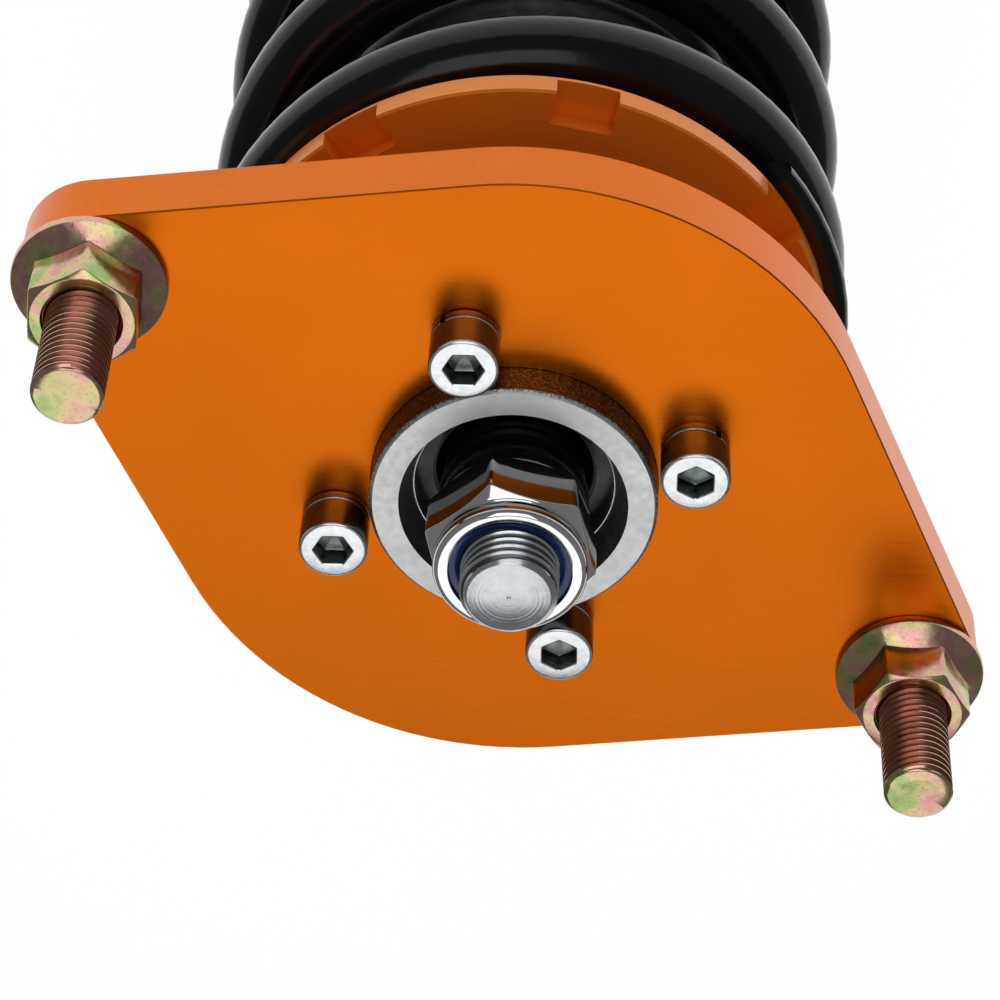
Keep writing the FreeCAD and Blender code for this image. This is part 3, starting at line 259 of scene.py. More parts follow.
def bright_zinc():
    """Clear zinc, its upright sides darkened below its faces as painted shade."""
    finish = metal("bright_zinc", (0.83, 0.85, 0.87), (0.70, 0.73, 0.75), 3 * MM, 0.16, 0.3)
    finish.bump(finish.noise(0.5 * MM), 0.008 * MM)
    # painted shade on the upright sides of the screw heads
    finish.painted_side_shade(0.42)
    return finish.material


def turned_steel():
    """Satin face with the lathe's rings in it and chips along the collar's edge, its upright sides darkened as
    painted shade.
    """
    finish = metal("turned_steel", (0.74, 0.76, 0.75), (0.64, 0.66, 0.65), 4 * MM, 0.34, 0.46)
    # painted shade on the collar's upright sides
    finish.painted_side_shade(0.45)
    finish.ragged_edge(COLLAR_RADIUS - 0.1 * MM, 0.9 * MM, 0.4 * MM, 0.35)
    finish.bump(finish.tool_marks(0.1 * MM), 0.008 * MM)
    finish.bump(finish.noise(0.25 * MM, detail=4.0), 0.015 * MM)
    return finish.material


def rod_steel():
    """Machined rod end: grey, with clear facing rings round its centre."""
    finish = metal("rod_steel", (0.66, 0.68, 0.70), (0.54, 0.56, 0.58), 4 * MM, 0.18, 0.28)
    finish.bump(finish.tool_marks(0.3 * MM), 0.02 * MM)
    return finish.material


def plain_metal(name, light, dark, smooth, rough):
    """Turned metal of one tone, with fine tool marks."""
    finish = metal(name, light, dark, 6 * MM, smooth, rough)
    finish.bump(finish.tool_marks(0.15 * MM), 0.005 * MM)
    return finish.material


def chrome(name, sides):
    """Bright plating, its upright surfaces darkened to the grey sides as painted shade."""
    finish = metal(name, (0.88, 0.89, 0.91), (0.82, 0.83, 0.86), 8 * MM, 0.05, 0.11)
    finish.bump(finish.noise(2.5 * MM), 0.01 * MM)
    finish.painted_side_shade(sides)
    return finish.material


def black_gloss():
    """Thick powder coat with a little orange peel and dust."""
    finish = Finish("black_gloss", IOR=1.33, Coat_Weight=0.12, Coat_Roughness=0.04)
    dust = finish.noise(14 * MM, detail=5.0)
    clean, dusty = (0.004, 0.004, 0.005), (0.009, 0.009, 0.011)
    finish.colour(finish.ramp(dust, (0.35, clean), (0.75, dusty)))
    finish.roughness(finish.noise(3 * MM), 0.14, 0.22)
    finish.bump(finish.noise(1.6 * MM, detail=1.0), 0.015 * MM)
    return finish.material


def rubber(name, tone, smooth, rough, skin=0.3 * MM):
    """Matt rubber or plastic, with a fine skin."""
    finish = Finish(name)
    cloud = finish.noise(9 * MM)
    lighter = tuple(1.7 * part for part in tone)
    finish.colour(finish.ramp(cloud, (0.3, tone), (0.75, lighter)))
    finish.roughness(finish.noise(2 * MM), smooth, rough)
    finish.bump(finish.noise(skin), 0.02 * MM)
    return finish.material


def blue_nylon():
    """Dark blue polymer, a little glossy."""
    finish = Finish("blue_nylon", Coat_Weight=0.2, Coat_Roughness=0.15)
    cloud = finish.noise(3 * MM)
    finish.colour(finish.ramp(cloud, (0.3, (0.008, 0.022, 0.10)), (0.7, (0.014, 0.04, 0.17))))
    finish.roughness(finish.noise(1 * MM), 0.2, 0.32)
    finish.bump(finish.tool_marks(0.3 * MM), 0.01 * MM)
    return finish.material


def foam():
    """Yellowish foam with open cells."""
    finish = Finish("bump_foam")
    cells = finish.pits(0.9 * MM)
    finish.colour(finish.ramp(cells, (0.1, (0.40, 0.34, 0.20)), (0.7, (0.66, 0.60, 0.42))))
    finish.roughness(finish.noise(2 * MM), 0.6, 0.8)
    finish.bump(cells, 0.15 * MM)
    return finish.material


def studio_floor():
    """Pale paper that glows a little, so that it stays white."""
    finish = Finish("studio_floor", Emission_Color=(1, 1, 1, 1), Emission_Strength=0.72)
    cloud = finish.noise(0.4, detail=2.0)
    finish.colour(finish.ramp(cloud, (0.3, (0.90, 0.90, 0.90)), (0.7, (0.93, 0.93, 0.93))))
    finish.roughness(finish.noise(0.02), 0.6, 0.7)
    return finish.material


MATERIALS = {
    # the turned pieces' orange is brighter than the plate's, painted light for the seat in the plate's shade
    "orange_anodise": orange_anodise(
        "orange_anodise", (0.90, 0.24, 0.008), (1.0, 0.29, 0.012), 0.25
    ),
    "yellow_zinc": yellow_zinc(),
    "bright_zinc": bright_zinc(),
    "turned_steel": turned_steel(),
    "chrome": chrome("chrome", 1.0),
    "blue_nylon": blue_nylon(),
    "black_paint": black_gloss(),
    "bump_foam": foam(),
    "black_rubber": rubber("black_rubber", (0.012, 0.012, 0.013), 0.32, 0.48),
    "sliding_liner": rubber("sliding_liner", (0.03, 0.027, 0.025), 0.5, 0.7),
    "slip_plastic": rubber("slip_plastic", (0.018, 0.018, 0.02), 0.3, 0.45, 0.8 * MM),
}
BRUSHED_PLATE = orange_anodise(
    "orange_brushed", (0.64, 0.125, 0.002), (0.78, 0.175, 0.003), 1.0, GRAIN_TURN
)
# the lock nut's plating, its hexagon's upright sides darkened with painted shade
NUT_PLATING = chrome("nut_plating", 0.4)
ROD_STEEL = rod_steel()

# name, light tone, dark tone, least and most roughness
TURNED_METALS = (
    # bearing_steel is near black: painted shade of the bearing down in the housing
    ("bearing_steel", (0.05, 0.05, 0.05), (0.03, 0.03, 0.032), 0.18, 0.3),
    ("black_oxide", (0.16, 0.16, 0.165), (0.08, 0.08, 0.085), 0.16, 0.28),
    ("zinc_nickel", (0.58, 0.60, 0.62), (0.48, 0.50, 0.53), 0.25, 0.38),
    ("spring_steel", (0.40, 0.43, 0.50), (0.30, 0.31, 0.36), 0.2, 0.32),
    ("alloy", (0.80, 0.81, 0.82), (0.70, 0.71, 0.72), 0.28, 0.4),
    ("bronze", (0.70, 0.48, 0.26), (0.55, 0.35, 0.17), 0.3, 0.45),
    # the two thread roots are darkened as painted shade in the grooves, one grey and one coppery
    ("thread_root_shade", (0.14, 0.145, 0.15), (0.08, 0.085, 0.09), 0.22, 0.32),
    ("coppery_root_shade", (0.40, 0.15, 0.10), (0.20, 0.07, 0.05), 0.24, 0.36),
    # socket_shade is painted shade inside the cap screws' sockets
    ("socket_shade", (0.25, 0.29, 0.27), (0.13, 0.16, 0.15), 0.2, 0.34),
)
for row in TURNED_METALS:
    MATERIALS[row[0]] = plain_metal(*row)


# ---------------------------------------------------------------- shapes


def crisp(mesh, angle=30):
    """Smooth shading that keeps real edges."""
    mesh.polygons.foreach_set("use_smooth", [True] * len(mesh.polygons))
    mesh.set_sharp_from_angle(angle=math.radians(angle))


def add_piece(name, mesh, slot, body, *nodes):
    """Sets a new mesh riding on a body, gives it the slot's material if it has none, and hides the CAD nodes it
    stands for.
    """
    piece = bpy.data.objects.new(name, mesh)
    bpy.context.scene.collection.objects.link(piece)
    if not mesh.materials:
        mesh.materials.append(MATERIALS[slot])
    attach(piece, body)
    if nodes:
        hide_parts(*nodes)
    return piece


def close_up(mesh):
    """Joins points that coincide and turns every face outwards."""
    build = bmesh.new()
    build.from_mesh(mesh)
    bmesh.ops.remove_doubles(build, verts=build.verts, dist=0.0005 * MM)
    bmesh.ops.recalc_face_normals(build, faces=build.faces)
    build.to_mesh(mesh)
    build.free()


def paint(mesh, material, chosen):
    """Gives another material to the faces chosen by the radius and height of their middle."""
    mesh.materials.append(material)
    number = len(mesh.materials) - 1
    for face in mesh.polygons:
        middle = face.center
        if chosen(math.hypot(middle.x, middle.y), middle.z):
            face.material_index = number


def turned_mesh(name, column, material, around=96, closed=True, stand=None, second=None):
    """A turned mesh: column(turns) lists the section's (radius, height) points at that angle.
    second is another material and the test of radius and height that says where it goes."""
    columns = [column(step / around) for step in range(around + 1)]
    rows = len(columns[0])
    points = []
    for step, section in enumerate(columns):
        angle = FULL_TURN * step / around
        points += [(r * math.cos(angle), r * math.sin(angle), z) for r, z in section]
    spans = rows if closed else rows - 1
    faces = []
    for step in range(around):
        here, there = step * rows, (step + 1) * rows
        for row in range(spans):
            above = (row + 1) % rows
            faces.append((here + row, there + row, there + above, here + above))
    mesh = bpy.data.meshes.new(name)
    mesh.from_pydata(points, [], faces)
    close_up(mesh)
    mesh.materials.append(material)
    if second:
        paint(mesh, *second)
    if stand:
        mesh.transform(stand)
    crisp(mesh)
    return mesh


def eased(corners, reach, closed=True, steps=3):
    """An outline's corners, each rounded over a reach. Corners on the axis stay."""
    rounded = []
    count = len(corners)
    for index, corner in enumerate(corners):
        if corner[0] == 0 or (not closed and index in (0, count - 1)):
            rounded.append(corner)
            continue
        spot = Vector(corner)
        for_one = []
        for neighbour in (corners[index - 1], corners[(index + 1) % count]):
            away = Vector(neighbour) - spot
            for_one.append(spot + away * min(reach / max(away.length, 1e-9), 0.45))
        start, end = for_one
        for step in range(steps + 1):
            share = step / steps
            bent = start.lerp(spot, share).lerp(spot.lerp(end, share), share)
            rounded.append((bent.x, bent.y))
    return rounded


def threads(radius, depth, pitch, low, high, limit=None, steps=8):
    """A function of the share of a turn that gives a right-hand thread's points, low to high.
    limit is the most radius at a height, for a chamfered end."""
    rows = steps * (math.ceil((high - low) / pitch) + 1) + 1
    crest, flanks = 0.125, 0.75  # shares of the pitch, as on a metric thread

    def points(turns):
        section = []
        for row in range(rows):
            height = low + pitch * ((row + 0.5) / steps + turns - 1)
            height = min(max(height, low), high)
            phase = ((height - low) / pitch - turns) % 1.0
            flank = (1 - abs(1 - 2 * phase) - crest) / flanks
            reach = radius - depth * min(max(flank, 0.0), 1.0)
            if limit:
                reach = min(reach, limit(height))
            section.append((reach, height))
        return section

    return points


def lowest(node):
    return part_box(node)[0]


def highest(node):
    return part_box(node)[1]


# ---------------------------------------------------------------- pieces made here


def make_studs():
    """Two M10 studs: headed and knurled into the plate, threaded above it."""
    foot, top = lowest("mount_studs").z, highest("mount_studs").z
    plate_foot = lowest("mount_plate").z
    head_radius, knurl_radius, neck_radius = 8 * MM, 5.2 * MM, 5.1 * MM
    span = highest("mount_studs").x - head_radius
    radius, depth, pitch = 5 * MM, 0.72 * MM, 1.25 * MM
    tip, tip_slope = 4.5 * MM, 1.2
    thread_foot, thread_top = 0.3 * MM, top - 0.12 * MM

    def tip_chamfer(height):
        return tip + tip_slope * (top - height)

    thread = threads(radius, depth, pitch, thread_foot, thread_top, tip_chamfer)
    head = [
        (0, foot),
        (head_radius, foot),
        (head_radius, plate_foot),
        (knurl_radius, plate_foot),
    ]
    head = eased(head, 0.6 * MM, closed=False)
    nose = [(tip - 0.1 * MM, top), (tip * 0.6, top - 0.04 * MM), (0, top - 0.06 * MM)]

    def column(turns):
        return head + [(neck_radius, 0)] + thread(turns) + nose

    # painted shade: the grooves of the thread get a darker, coppery material
    def in_groove_shade(reach, height):
        return 0.5 * MM < height < top - MM and reach < radius - 0.15 * depth

    zinc, groove_shade = MATERIALS["yellow_zinc"], (MATERIALS["coppery_root_shade"], in_groove_shade)
    for name, side in (("stud_left", -1), ("stud_right", 1)):
        stand = Matrix.Translation((side * span, 0, 0))
        mesh = turned_mesh(name, column, zinc, 72, closed=False, stand=stand, second=groove_shade)
        add_piece(name, mesh, "yellow_zinc", "top_mount", "mount_studs")


def make_rod():
    """Chromed rod with its threaded, faced and centre-drilled end."""
    foot, top = lowest("piston_rod").z, highest("piston_rod").z
    shoulder, step = -41.5 * MM, -172 * MM
    rod_radius, spigot_radius = 11 * MM, 6 * MM
    radius, depth, pitch = 7 * MM, 0.9 * MM, 1.5 * MM
    tip, tip_slope = 5.95 * MM, 1.1
    thread_foot, thread_top = highest("upper_spacer").z, top - 0.06 * MM
    dimple = 0.3 * MM

    def tip_chamfer(height):
        return tip + tip_slope * (top - height)

    thread = threads(radius, depth, pitch, thread_foot, thread_top, tip_chamfer)
    below = [
        (0, foot),
        (spigot_radius, foot),
        (spigot_radius, step),
        (rod_radius, step),
        (rod_radius, shoulder),
        (radius, shoulder),
    ]
    below = eased(below, 0.5 * MM, closed=False)
    nose = [
        (tip - 0.06 * MM, top),
        (dimple + 0.1 * MM, top),
        (dimple, top),
        (0, top - dimple),
    ]

    def column(turns):
        return below + thread(turns) + nose

    def machined(reach, height):
        return height > shoulder

    # painted shade: the grooves of the thread get a dark material
    def in_groove_shade(reach, height):
        return thread_foot < height < top - MM and reach < radius - 0.3 * MM

    chromed, faced = MATERIALS["chrome"], (ROD_STEEL, machined)
    mesh = turned_mesh("rod", column, chromed, 128, closed=False, second=faced)
    paint(mesh, MATERIALS["thread_root_shade"], in_groove_shade)
    add_piece("rod", mesh, "chrome", "rod", "piston_rod")


def hexagon(turns, flats):
    """Radius of a hexagon with a corner at no turn, its corners a little rounded."""
    from_flat = (FULL_TURN * turns) % (math.pi / 3) - math.pi / 6
    return min(flats / 2 / math.cos(from_flat), CORNER_TRIM * flats / math.sqrt(3))


def hex_side(turns, flats, top):
    """The top of a hexagon's side and its corner chamfer, with eased edges, from below to above."""
    ease = 0.1 * MM
    reach = hexagon(turns, flats)
    start = flats * CHAMFER_START
    edge = top - (reach - start) * CORNER_CHAMFER
    return [
        (reach, edge - ease),
        (reach - 0.3 * ease, edge - 0.2 * ease),
        (reach - ease, edge + ease * CORNER_CHAMFER),
        (start + ease, top - ease * CORNER_CHAMFER),
        (start, top - 0.15 * ease),
        (start - ease, top),
    ]


def make_stud_nuts():
    """Two flanged M10 nuts on the studs."""
    high = highest("stud_nuts")
    flats, flange, bore, mouth_radius = 15 * MM, 11 * MM, 4.65 * MM, 5.75 * MM
    span = high.x - flange
    edge, rise = 1.5 * MM, 1.7 * MM  # the flange's rim, and how much it rises to the hexagon

    def column(turns):
        reach = hexagon(turns, flats)
        meeting = edge + rise * (flange - reach) / (flange - flats / 2)
        foot = [(bore, 0), (flange - 0.3 * MM, 0), (flange, 0.25 * MM), (flange, edge - 0.45 * MM)]
        slope = [(flange - 0.12 * MM, edge - 0.15 * MM), (flange - 0.45 * MM, edge + 0.02 * MM)]
        fillet = [(reach + 0.25 * MM, meeting - 0.1 * MM), (reach, meeting + 0.15 * MM)]
        mouth = [
            (mouth_radius, high.z),
            (mouth_radius - 0.15 * MM, high.z - 0.1 * MM),
            (bore, high.z - mouth_radius + bore),
        ]
        return foot + slope + fillet + hex_side(turns, flats, high.z) + mouth

    for name, side, clocking in (("stud_nut_left", -1, 55), ("stud_nut_right", 1, 30)):
        turn = Matrix.Rotation(math.radians(clocking), 4, "Z")
        stand = Matrix.Translation((side * span, 0, 0)) @ turn
        mesh = turned_mesh(name, column, MATERIALS["yellow_zinc"], 180, stand=stand)
        add_piece(name, mesh, "yellow_zinc", "top_mount", "stud_nuts")


def make_cap_screws():
    """Four M6 socket-head cap screws."""
    foot, top = lowest("cap_screws").z, highest("cap_screws").z
    seat = highest("spring_washers").z
    radius, shank, flats = 5 * MM, 3 * MM, 5 * MM
    spot = highest("cap_screws").x - radius
    floor = top - 3.2 * MM
    outside = [(0, foot), (shank, foot), (shank, seat), (radius, seat)]
    outside = eased(outside, 0.3 * MM, closed=False)[:-1]
    outside += [(radius - 0.25 * MM, seat), (radius, seat + 0.25 * MM)]
    crown = [
        (radius, top - 0.7 * MM),
        (radius - 0.04 * MM, top - 0.42 * MM),
        (radius - 0.16 * MM, top - 0.18 * MM),
        (radius - 0.4 * MM, top - 0.03 * MM),
        (radius - 0.6 * MM, top),
    ]

    def column(turns):
        reach = hexagon(turns, flats)
        mouth = [
            (reach + 0.2 * MM, top),
            (reach + 0.03 * MM, top - 0.1 * MM),
            (reach, top - 0.25 * MM),
        ]
        bottom = [(reach, floor), (reach - 0.2 * MM, floor - 0.1 * MM), (0, floor - 1.0 * MM)]
        return outside + crown + mouth + bottom

    # painted shade: the socket's walls and floor get a dark material
    def in_socket_shade(reach, height):
        return reach < shank - 0.05 * MM and floor - MM < height < top - 0.2 * MM

    zinc, socket = MATERIALS["bright_zinc"], (MATERIALS["socket_shade"], in_socket_shade)
    corners = ((1, 1, 0), (-1, 1, 30), (-1, -1, 30), (1, -1, 0))
    for number, (right, back, clocking) in enumerate(corners, start=1):
        turn = Matrix.Rotation(math.radians(clocking), 4, "Z")
        stand = Matrix.Translation((right * spot, back * spot, 0)) @ turn
        name = "cap_screw_%d" % number
        mesh = turned_mesh(name, column, zinc, 96, closed=False, stand=stand, second=socket)
        add_piece(name, mesh, "bright_zinc", "top_mount", "cap_screws")


def make_spring_washers():
    """Split washers of square wire, one end a little proud of the other."""
    low, high = lowest("spring_washers"), highest("spring_washers")
    outer, inner = 4.95 * MM, 3.1 * MM
    spot = high.x - outer
    thick = high.z - low.z
    kick = 0.25 * MM  # how much the second end stands above the first
    gap = 0.03  # the split, as a share of a turn
    clocking = 80  # degrees from one washer's split to the next
    around = 72
    flat = thick - kick
    section = eased([(inner, 0), (outer, 0), (outer, flat), (inner, flat)], 0.35 * MM)
    for number, (right, back) in enumerate(((1, 1), (-1, 1), (-1, -1), (1, -1)), start=1):
        points = []
        for step in range(around + 1):
            turns = gap / 2 + (1 - gap) * step / around
            angle = FULL_TURN * turns + math.radians(clocking * number)
            lift = kick * step / around
            points += [(r * math.cos(angle), r * math.sin(angle), z + lift) for r, z in section]
        rows = len(section)
        faces = []
        for step in range(around):
            here, there = step * rows, (step + 1) * rows
            for row in range(rows):
                above = (row + 1) % rows
                faces.append((here + row, there + row, there + above, here + above))
        faces.append(tuple(range(rows)))
        faces.append(tuple(around * rows + row for row in range(rows))[::-1])
        name = "spring_washer_%d" % number
        mesh = bpy.data.meshes.new(name)
        mesh.from_pydata(points, [], faces)
        close_up(mesh)
        mesh.transform(Matrix.Translation((right * spot, back * spot, low.z)))
        crisp(mesh)
        add_piece(name, mesh, "bright_zinc", "top_mount", "spring_washers")


def make_lock_nut():
    """M14 self-locking nut: hexagon, and the crimped collar that holds its nylon ring."""
    low, top = lowest("rod_nut").z, highest("rod_nut").z
    flats, bore = 22 * MM, 7.05 * MM
    hex_top = low + 8.6 * MM
    collar, lip, pocket = 11 * MM, 8.7 * MM, 9.7 * MM
    pocket_floor = top - 3.3 * MM
    start = flats * CHAMFER_START
    crown, crown_steps = 1.15 * MM, 7
    neck = [
        (collar - 0.55 * MM, hex_top + 0.1 * MM),
        (collar - 0.25 * MM, hex_top + 0.45 * MM),
        (collar - 0.04 * MM, hex_top + 0.9 * MM),
    ]
    bulge = []
    for step in range(crown_steps + 1):
        angle = math.radians(90 * step / crown_steps)
        level = top - crown * (1 - math.sin(angle))
        bulge.append((collar - crown * (1 - math.cos(angle)), level))
    rim = [(lip + 0.5 * MM, top), (lip + 0.12 * MM, top - 0.1 * MM), (lip, top - 0.35 * MM)]
    inside = [(pocket, top - 0.6 * MM), (pocket, pocket_floor), (bore, pocket_floor)]

    def column(turns):
        reach = hexagon(turns, flats)
        foot = [(bore, low), (start, low), (reach, low + (reach - start) * CORNER_CHAMFER)]
        return foot + hex_side(turns, flats, hex_top) + neck + bulge + rim + inside

    turn = Matrix.Rotation(math.radians(13.6), 4, "Z")
    mesh = turned_mesh("lock_nut", column, NUT_PLATING, 192, stand=turn)
    add_piece("lock_nut", mesh, "chrome", "rod", "rod_nut")


def make_upper_spacer():
    """Coned spacer between the ball and the lock nut, its edges rounded and the top one given a painted highlight
    in brighter steel.
    """
    low, high = lowest("upper_spacer"), highest("upper_spacer")
    neck, collar, bore = 9.4 * MM, high.x, 7.05 * MM
    corner = high.z - 5.5 * MM
    highlight_width = 0.45 * MM
    corners = [
        (bore, low.z),
        (neck, low.z),
        (neck, corner - 0.5 * MM),
        (collar, corner + 0.1 * MM),
        (collar, high.z),
        (bore, high.z),
    ]
    outline = eased(corners, 0.5 * MM, steps=4)

    def in_painted_highlight(reach, height):
        return reach > collar - highlight_width and height > high.z - highlight_width

    # bright is a painted highlight: brighter steel on the collar's top edge
    black, bright = MATERIALS["black_oxide"], (MATERIALS["spring_steel"], in_painted_highlight)
    mesh = turned_mesh("coned_spacer", lambda turns: outline, black, second=bright)
    add_piece("coned_spacer", mesh, "black_oxide", "rod", "upper_spacer")


def make_throat_edge():
    """A bead of bright zinc at the foot of the housing's coned mouth, a painted highlight along that edge."""
    throat, level, half = 14.5 * MM, 0.5 * MM, 0.14 * MM
    sides = 12
    outline = []
    for step in range(sides):
        angle = FULL_TURN * step / sides
        outline.append((throat + half * math.cos(angle), level + half * math.sin(angle)))
    # the bead's bright zinc is a painted highlight
    mesh = turned_mesh("throat_edge", lambda turns: outline, MATERIALS["bright_zinc"])
    add_piece("throat_edge", mesh, "turned_steel", "top_mount")


def make_nylon_ring():
    """Polymer locking ring, bulging inwards over the thread."""
    low, high = lowest("rod_nut_insert"), highest("rod_nut_insert")
    inner, outer = 7.02 * MM, high.x
    corners = [(inner, low.z), (outer, low.z), (outer, high.z), (inner, high.z)]
    outline = eased(corners, 1.1 * MM, steps=5)
    mesh = turned_mesh("nylon_ring", lambda turns: outline, MATERIALS["blue_nylon"])
    add_piece("nylon_ring", mesh, "blue_nylon", "rod", "rod_nut_insert")


def make_spring():
    """Round wire coiled right-handed, with closed ends ground flat."""
    low, high = lowest("coil_spring"), highest("coil_spring")
    wire, radius = 6 * MM, 43.5 * MM
    pitch, end_pitch, end_turns, active_turns = 30.8 * MM, 7.1 * MM, 0.75, 5.1
    total = 2 * end_turns + active_turns
    lift = 0.51 * MM
    tip_angle = math.radians(67)
    per_turn, around = 72, 28
    ease = 0.1  # half of each change of pitch, in turns
    clear, shoulder = 0.05 * MM, 1.4 * MM  # room under the seats, and how soft the ground edge is

    def below(level, ceiling):
        """Keeps a level under a ceiling, bending towards it over a shoulder."""
        room = (ceiling - level) / shoulder
        return ceiling - shoulder * (max(room, 0.0) + math.log1p(math.exp(-abs(room))))

    def drop(turns):
        """How far below its upper tip the wire's centre is, with eased changes of pitch."""
        fallen = end_pitch * turns
        for change, sign in ((end_turns, 1), (end_turns + active_turns, -1)):
            past = turns - change
            share = min(max((past + ease) / (2 * ease), 0.0), 1.0)
            eased_past = max(past, 0.0) if abs(past) >= ease else ease * share * share
            fallen += sign * (pitch - end_pitch) * eased_past
        return fallen

    tip_height = high.z - wire - lift + end_turns * end_pitch
    count = round(total * per_turn)
    points = []
    for step in range(count + 1):
        turns = total * step / count
        angle = tip_angle - FULL_TURN * turns
        height = tip_height - drop(turns)
        for spoke in range(around):
            phase = FULL_TURN * spoke / around
            reach = radius + wire * math.cos(phase)
            level = height + wire * math.sin(phase)
            level = below(level, high.z - clear)
            level = -below(-level, -low.z - clear)
            points.append((reach * math.cos(angle), reach * math.sin(angle), level))
    faces = []
    for step in range(count):
        for spoke in range(around):
            beside = (spoke + 1) % around
            here, there = step * around, (step + 1) * around
            faces.append((here + spoke, here + beside, there + beside, there + spoke))
    faces.append(tuple(range(around)))
    faces.append(tuple(count * around + spoke for spoke in range(around))[::-1])
    mesh = bpy.data.meshes.new("spring")
    mesh.from_pydata(points, [], faces)
    close_up(mesh)
    crisp(mesh, 32)
    spring = add_piece("spring", mesh, "black_paint", "spring_rest", "coil_spring")
    keep = 1 - joint_range("damper_stroke") / (high.z - low.z)
    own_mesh(spring)


def make_boot():
    """Pleated dust boot with rounded folds, a plain neck and a lip over the damper."""
    low, high = lowest("dust_boot"), highest("dust_boot")
    crest, root, wall = 34 * MM, 29 * MM, 1.6 * MM
    neck, neck_height, fold, folds = 30.8 * MM, 6 * MM, 10 * MM, 8
    lip, lip_height = 25.3 * MM, 5 * MM
    fold_foot = low.z + lip_height
    fold_top = fold_foot + folds * fold
    steps = 12
    middle, swing = (crest + root) / 2, (crest - root) / 2
    fullness = 0.75  # below 1, the folds are rounder than a sine

    def pleat(height):
        wave = math.cos(FULL_TURN * (height - fold_foot) / fold)
        return middle - swing * math.copysign(abs(wave) ** fullness, wave)

    outer = [(lip + wall, low.z), (lip + wall, fold_foot - 1.2 * MM)]
    heights = [fold_foot + fold * step / steps for step in range(folds * steps + 1)]
    outer += [(pleat(height), height) for height in heights]
    outer += [(neck, fold_top + 0.9 * MM), (neck, high.z)]
    inner = [(radius - wall, height) for radius, height in outer[2:][::-1]]
    inner += [(lip, fold_foot - 1.2 * MM), (lip, low.z)]
    outline = outer + inner
    mesh = turned_mesh("boot", lambda turns: outline, MATERIALS["black_rubber"], 128)
    boot = add_piece("boot", mesh, "black_rubber", "rod", "dust_boot")
    keep = 1 - joint_range("damper_stroke") / (high.z - low.z)
    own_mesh(boot)


def make_tube():
    """Damper tube, threaded along its length for the perch and the bracket."""
    low, high = lowest("damper_tube"), highest("damper_tube")
    radius, bore = high.x, 22.5 * MM
    depth, pitch, chamfer = 1 * MM, 2 * MM, 1 * MM
    thread = threads(radius, depth, pitch, low.z + chamfer, high.z - chamfer, steps=6)
    edge = radius - chamfer - 0.3 * MM

    def column(turns):
        section = [(bore, low.z), (edge, low.z)] + thread(turns)
        return section + [(edge, high.z), (bore, high.z)]

    mesh = turned_mesh("threaded_tube", column, MATERIALS["zinc_nickel"])
    add_piece("threaded_tube", mesh, "zinc_nickel", "damper", "damper_tube")


def make_bush():
    """Rubber of the lower eye's bush, hollowed at both faces."""
    centre = (lowest("bush_rubber") + highest("bush_rubber")) / 2
    half = highest("bush_rubber").x
    across = Matrix.Translation(centre) @ Matrix.Rotation(math.radians(90), 4, "Y")
    inner, outer, hollow = 10.5 * MM, 17.35 * MM, 3 * MM
    steps = 8
    side = []
    for step in range(steps + 1):
        share = step / steps
        dip = hollow * math.sin(math.pi * share)
        side.append((inner + (outer - inner) * share, half - dip))
    outline = side + [(radius, -height) for radius, height in side[::-1]]
    mesh = turned_mesh("bush_web", lambda turns: outline, MATERIALS["black_rubber"], stand=across)
    add_piece("bush_web", mesh, "black_rubber", "bracket", "bush_rubber")


def joint_range(name):
    """The longest travel of a joint, in metres."""
    joint = next(row for row in frame["joints"] if row["name"] == name)
    return max(abs(limit) for limit in joint["range_m"])


# ---------------------------------------------------------------- carried-over CAD nodes


def finish_cad_nodes():
    """Gives every CAD node the finish of its slot."""
    slots = {row["node"]: row["material_slot"] for row in frame["record"]["subparts"]}
    for node, piece in frame["nodes"].items():
        finish = BRUSHED_PLATE if node == "mount_plate" else MATERIALS[slots[node]]
        for holder in piece.material_slots:
            holder.material = finish
        crisp(piece.data)


# ---------------------------------------------------------------- studio


def make_floor():
    """A pale floor, just under the lowest that the bracket reaches."""
    mesh = bpy.data.meshes.new("floor")
    reach = 6.0
    level = cad_low.z - joint_range("bracket_height") - 5 * MM
    corners = ((-reach, -reach), (reach, -reach), (reach, reach), (-reach, reach))
    mesh.from_pydata([(x, y, level) for x, y in corners], [], [(0, 1, 2, 3)])
    floor = bpy.data.objects.new("floor", mesh)
    bpy.context.scene.collection.objects.link(floor)
    mesh.materials.append(studio_floor())


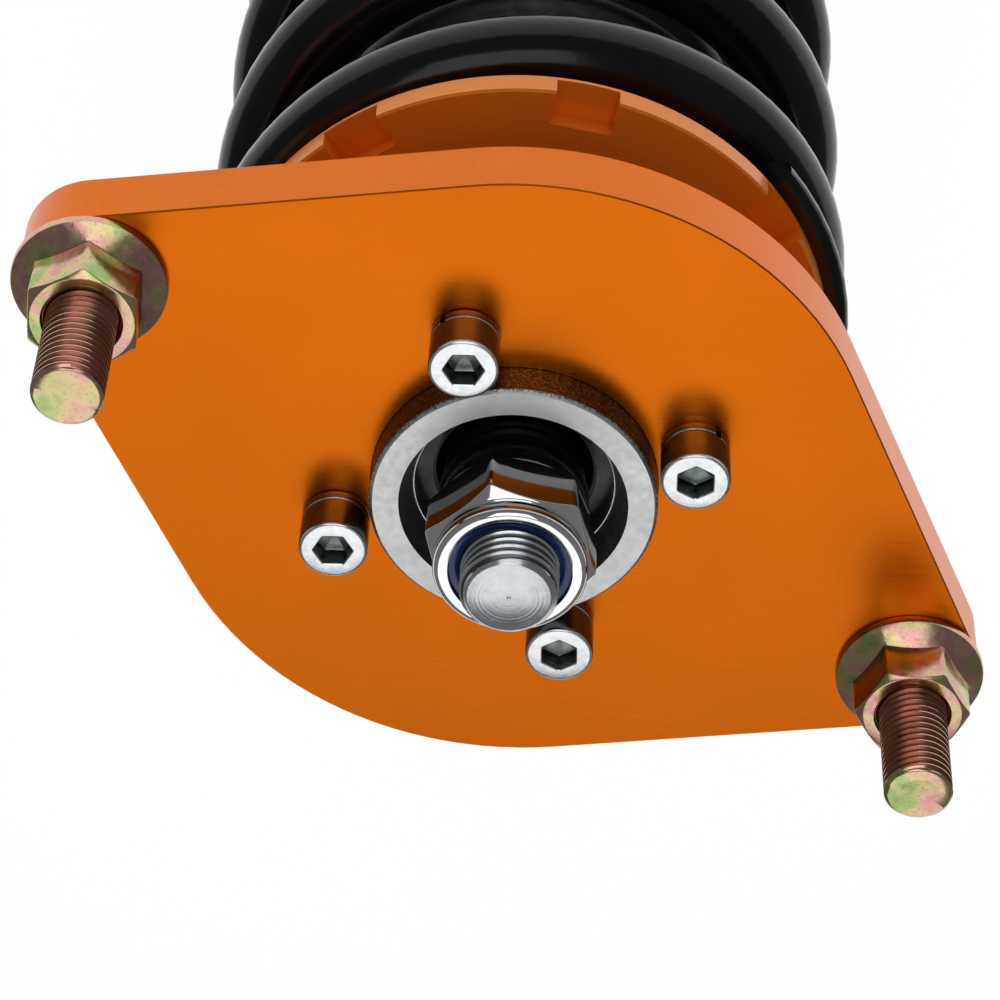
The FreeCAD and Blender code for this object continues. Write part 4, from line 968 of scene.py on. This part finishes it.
def make_light(name, azimuth, elevation, distance, size, power):
    """A square soft box aimed at the top mount. Azimuth is counted from +X."""
    data = bpy.data.lights.new(name, "AREA")
    data.energy = power
    data.size = size
    light = bpy.data.objects.new(name, data)
    bpy.context.scene.collection.objects.link(light)
    turn, rise = math.radians(azimuth), math.radians(elevation)
    level = math.cos(rise)
    away = Vector((math.cos(turn) * level, math.sin(turn) * level, math.sin(rise)))
    light.location = away * distance
    light.rotation_euler = away.to_track_quat("Z", "Y").to_euler()


def make_studio():
    """A key light over the far side, a fill over the near side, and a dim room seen as white."""
    world = bpy.data.worlds.new("studio")
    world.use_nodes = True
    backdrop = world.node_tree.nodes["Background"]
    backdrop.inputs["Color"].default_value = (1, 1, 1, 1)
    seen_directly = world.node_tree.nodes.new("ShaderNodeLightPath").outputs["Is Camera Ray"]
    strength = world.node_tree.nodes.new("ShaderNodeMapRange")
    dim, white = 0.15, 0.85
    strength.inputs["To Min"].default_value = dim
    strength.inputs["To Max"].default_value = white
    world.node_tree.links.new(seen_directly, strength.inputs["Value"])
    world.node_tree.links.new(strength.outputs["Result"], backdrop.inputs["Strength"])
    bpy.context.scene.world = world
    make_light("key", 298, 66, 1.1, 0.9, 2.7)
    make_light("fill", 118, 60, 1.2, 0.8, 2.6)
    bpy.context.scene.view_settings.view_transform = "Standard"


def make_camera():
    """Looks down on the top mount, upside down, from the side away from the key light."""
    spot = Vector((-0.16097, 0.30202, 0.43272))
    aim = Vector((-0.00017, -0.00382, 0.0))
    up = Vector((-0.4106, 0.6657, -0.6231))
    backwards = (spot - aim).normalized()
    right = up.cross(backwards).normalized()
    up = backwards.cross(right)
    data = bpy.data.cameras.new("camera")
    data.sensor_width = 36.0
    data.lens = 137.61
    data.clip_start = 0.01
    camera = bpy.data.objects.new("camera", data)
    bpy.context.scene.collection.objects.link(camera)
    turn = Matrix((right, up, backwards)).transposed()
    camera.matrix_world = Matrix.Translation(spot) @ turn.to_4x4()
    bpy.context.scene.camera = camera


finish_cad_nodes()
make_studs()
make_stud_nuts()
make_cap_screws()
make_spring_washers()
make_lock_nut()
make_upper_spacer()
make_throat_edge()
make_rod()
make_nylon_ring()
make_spring()
make_boot()
make_tube()
make_bush()
make_floor()
make_studio()
make_camera()
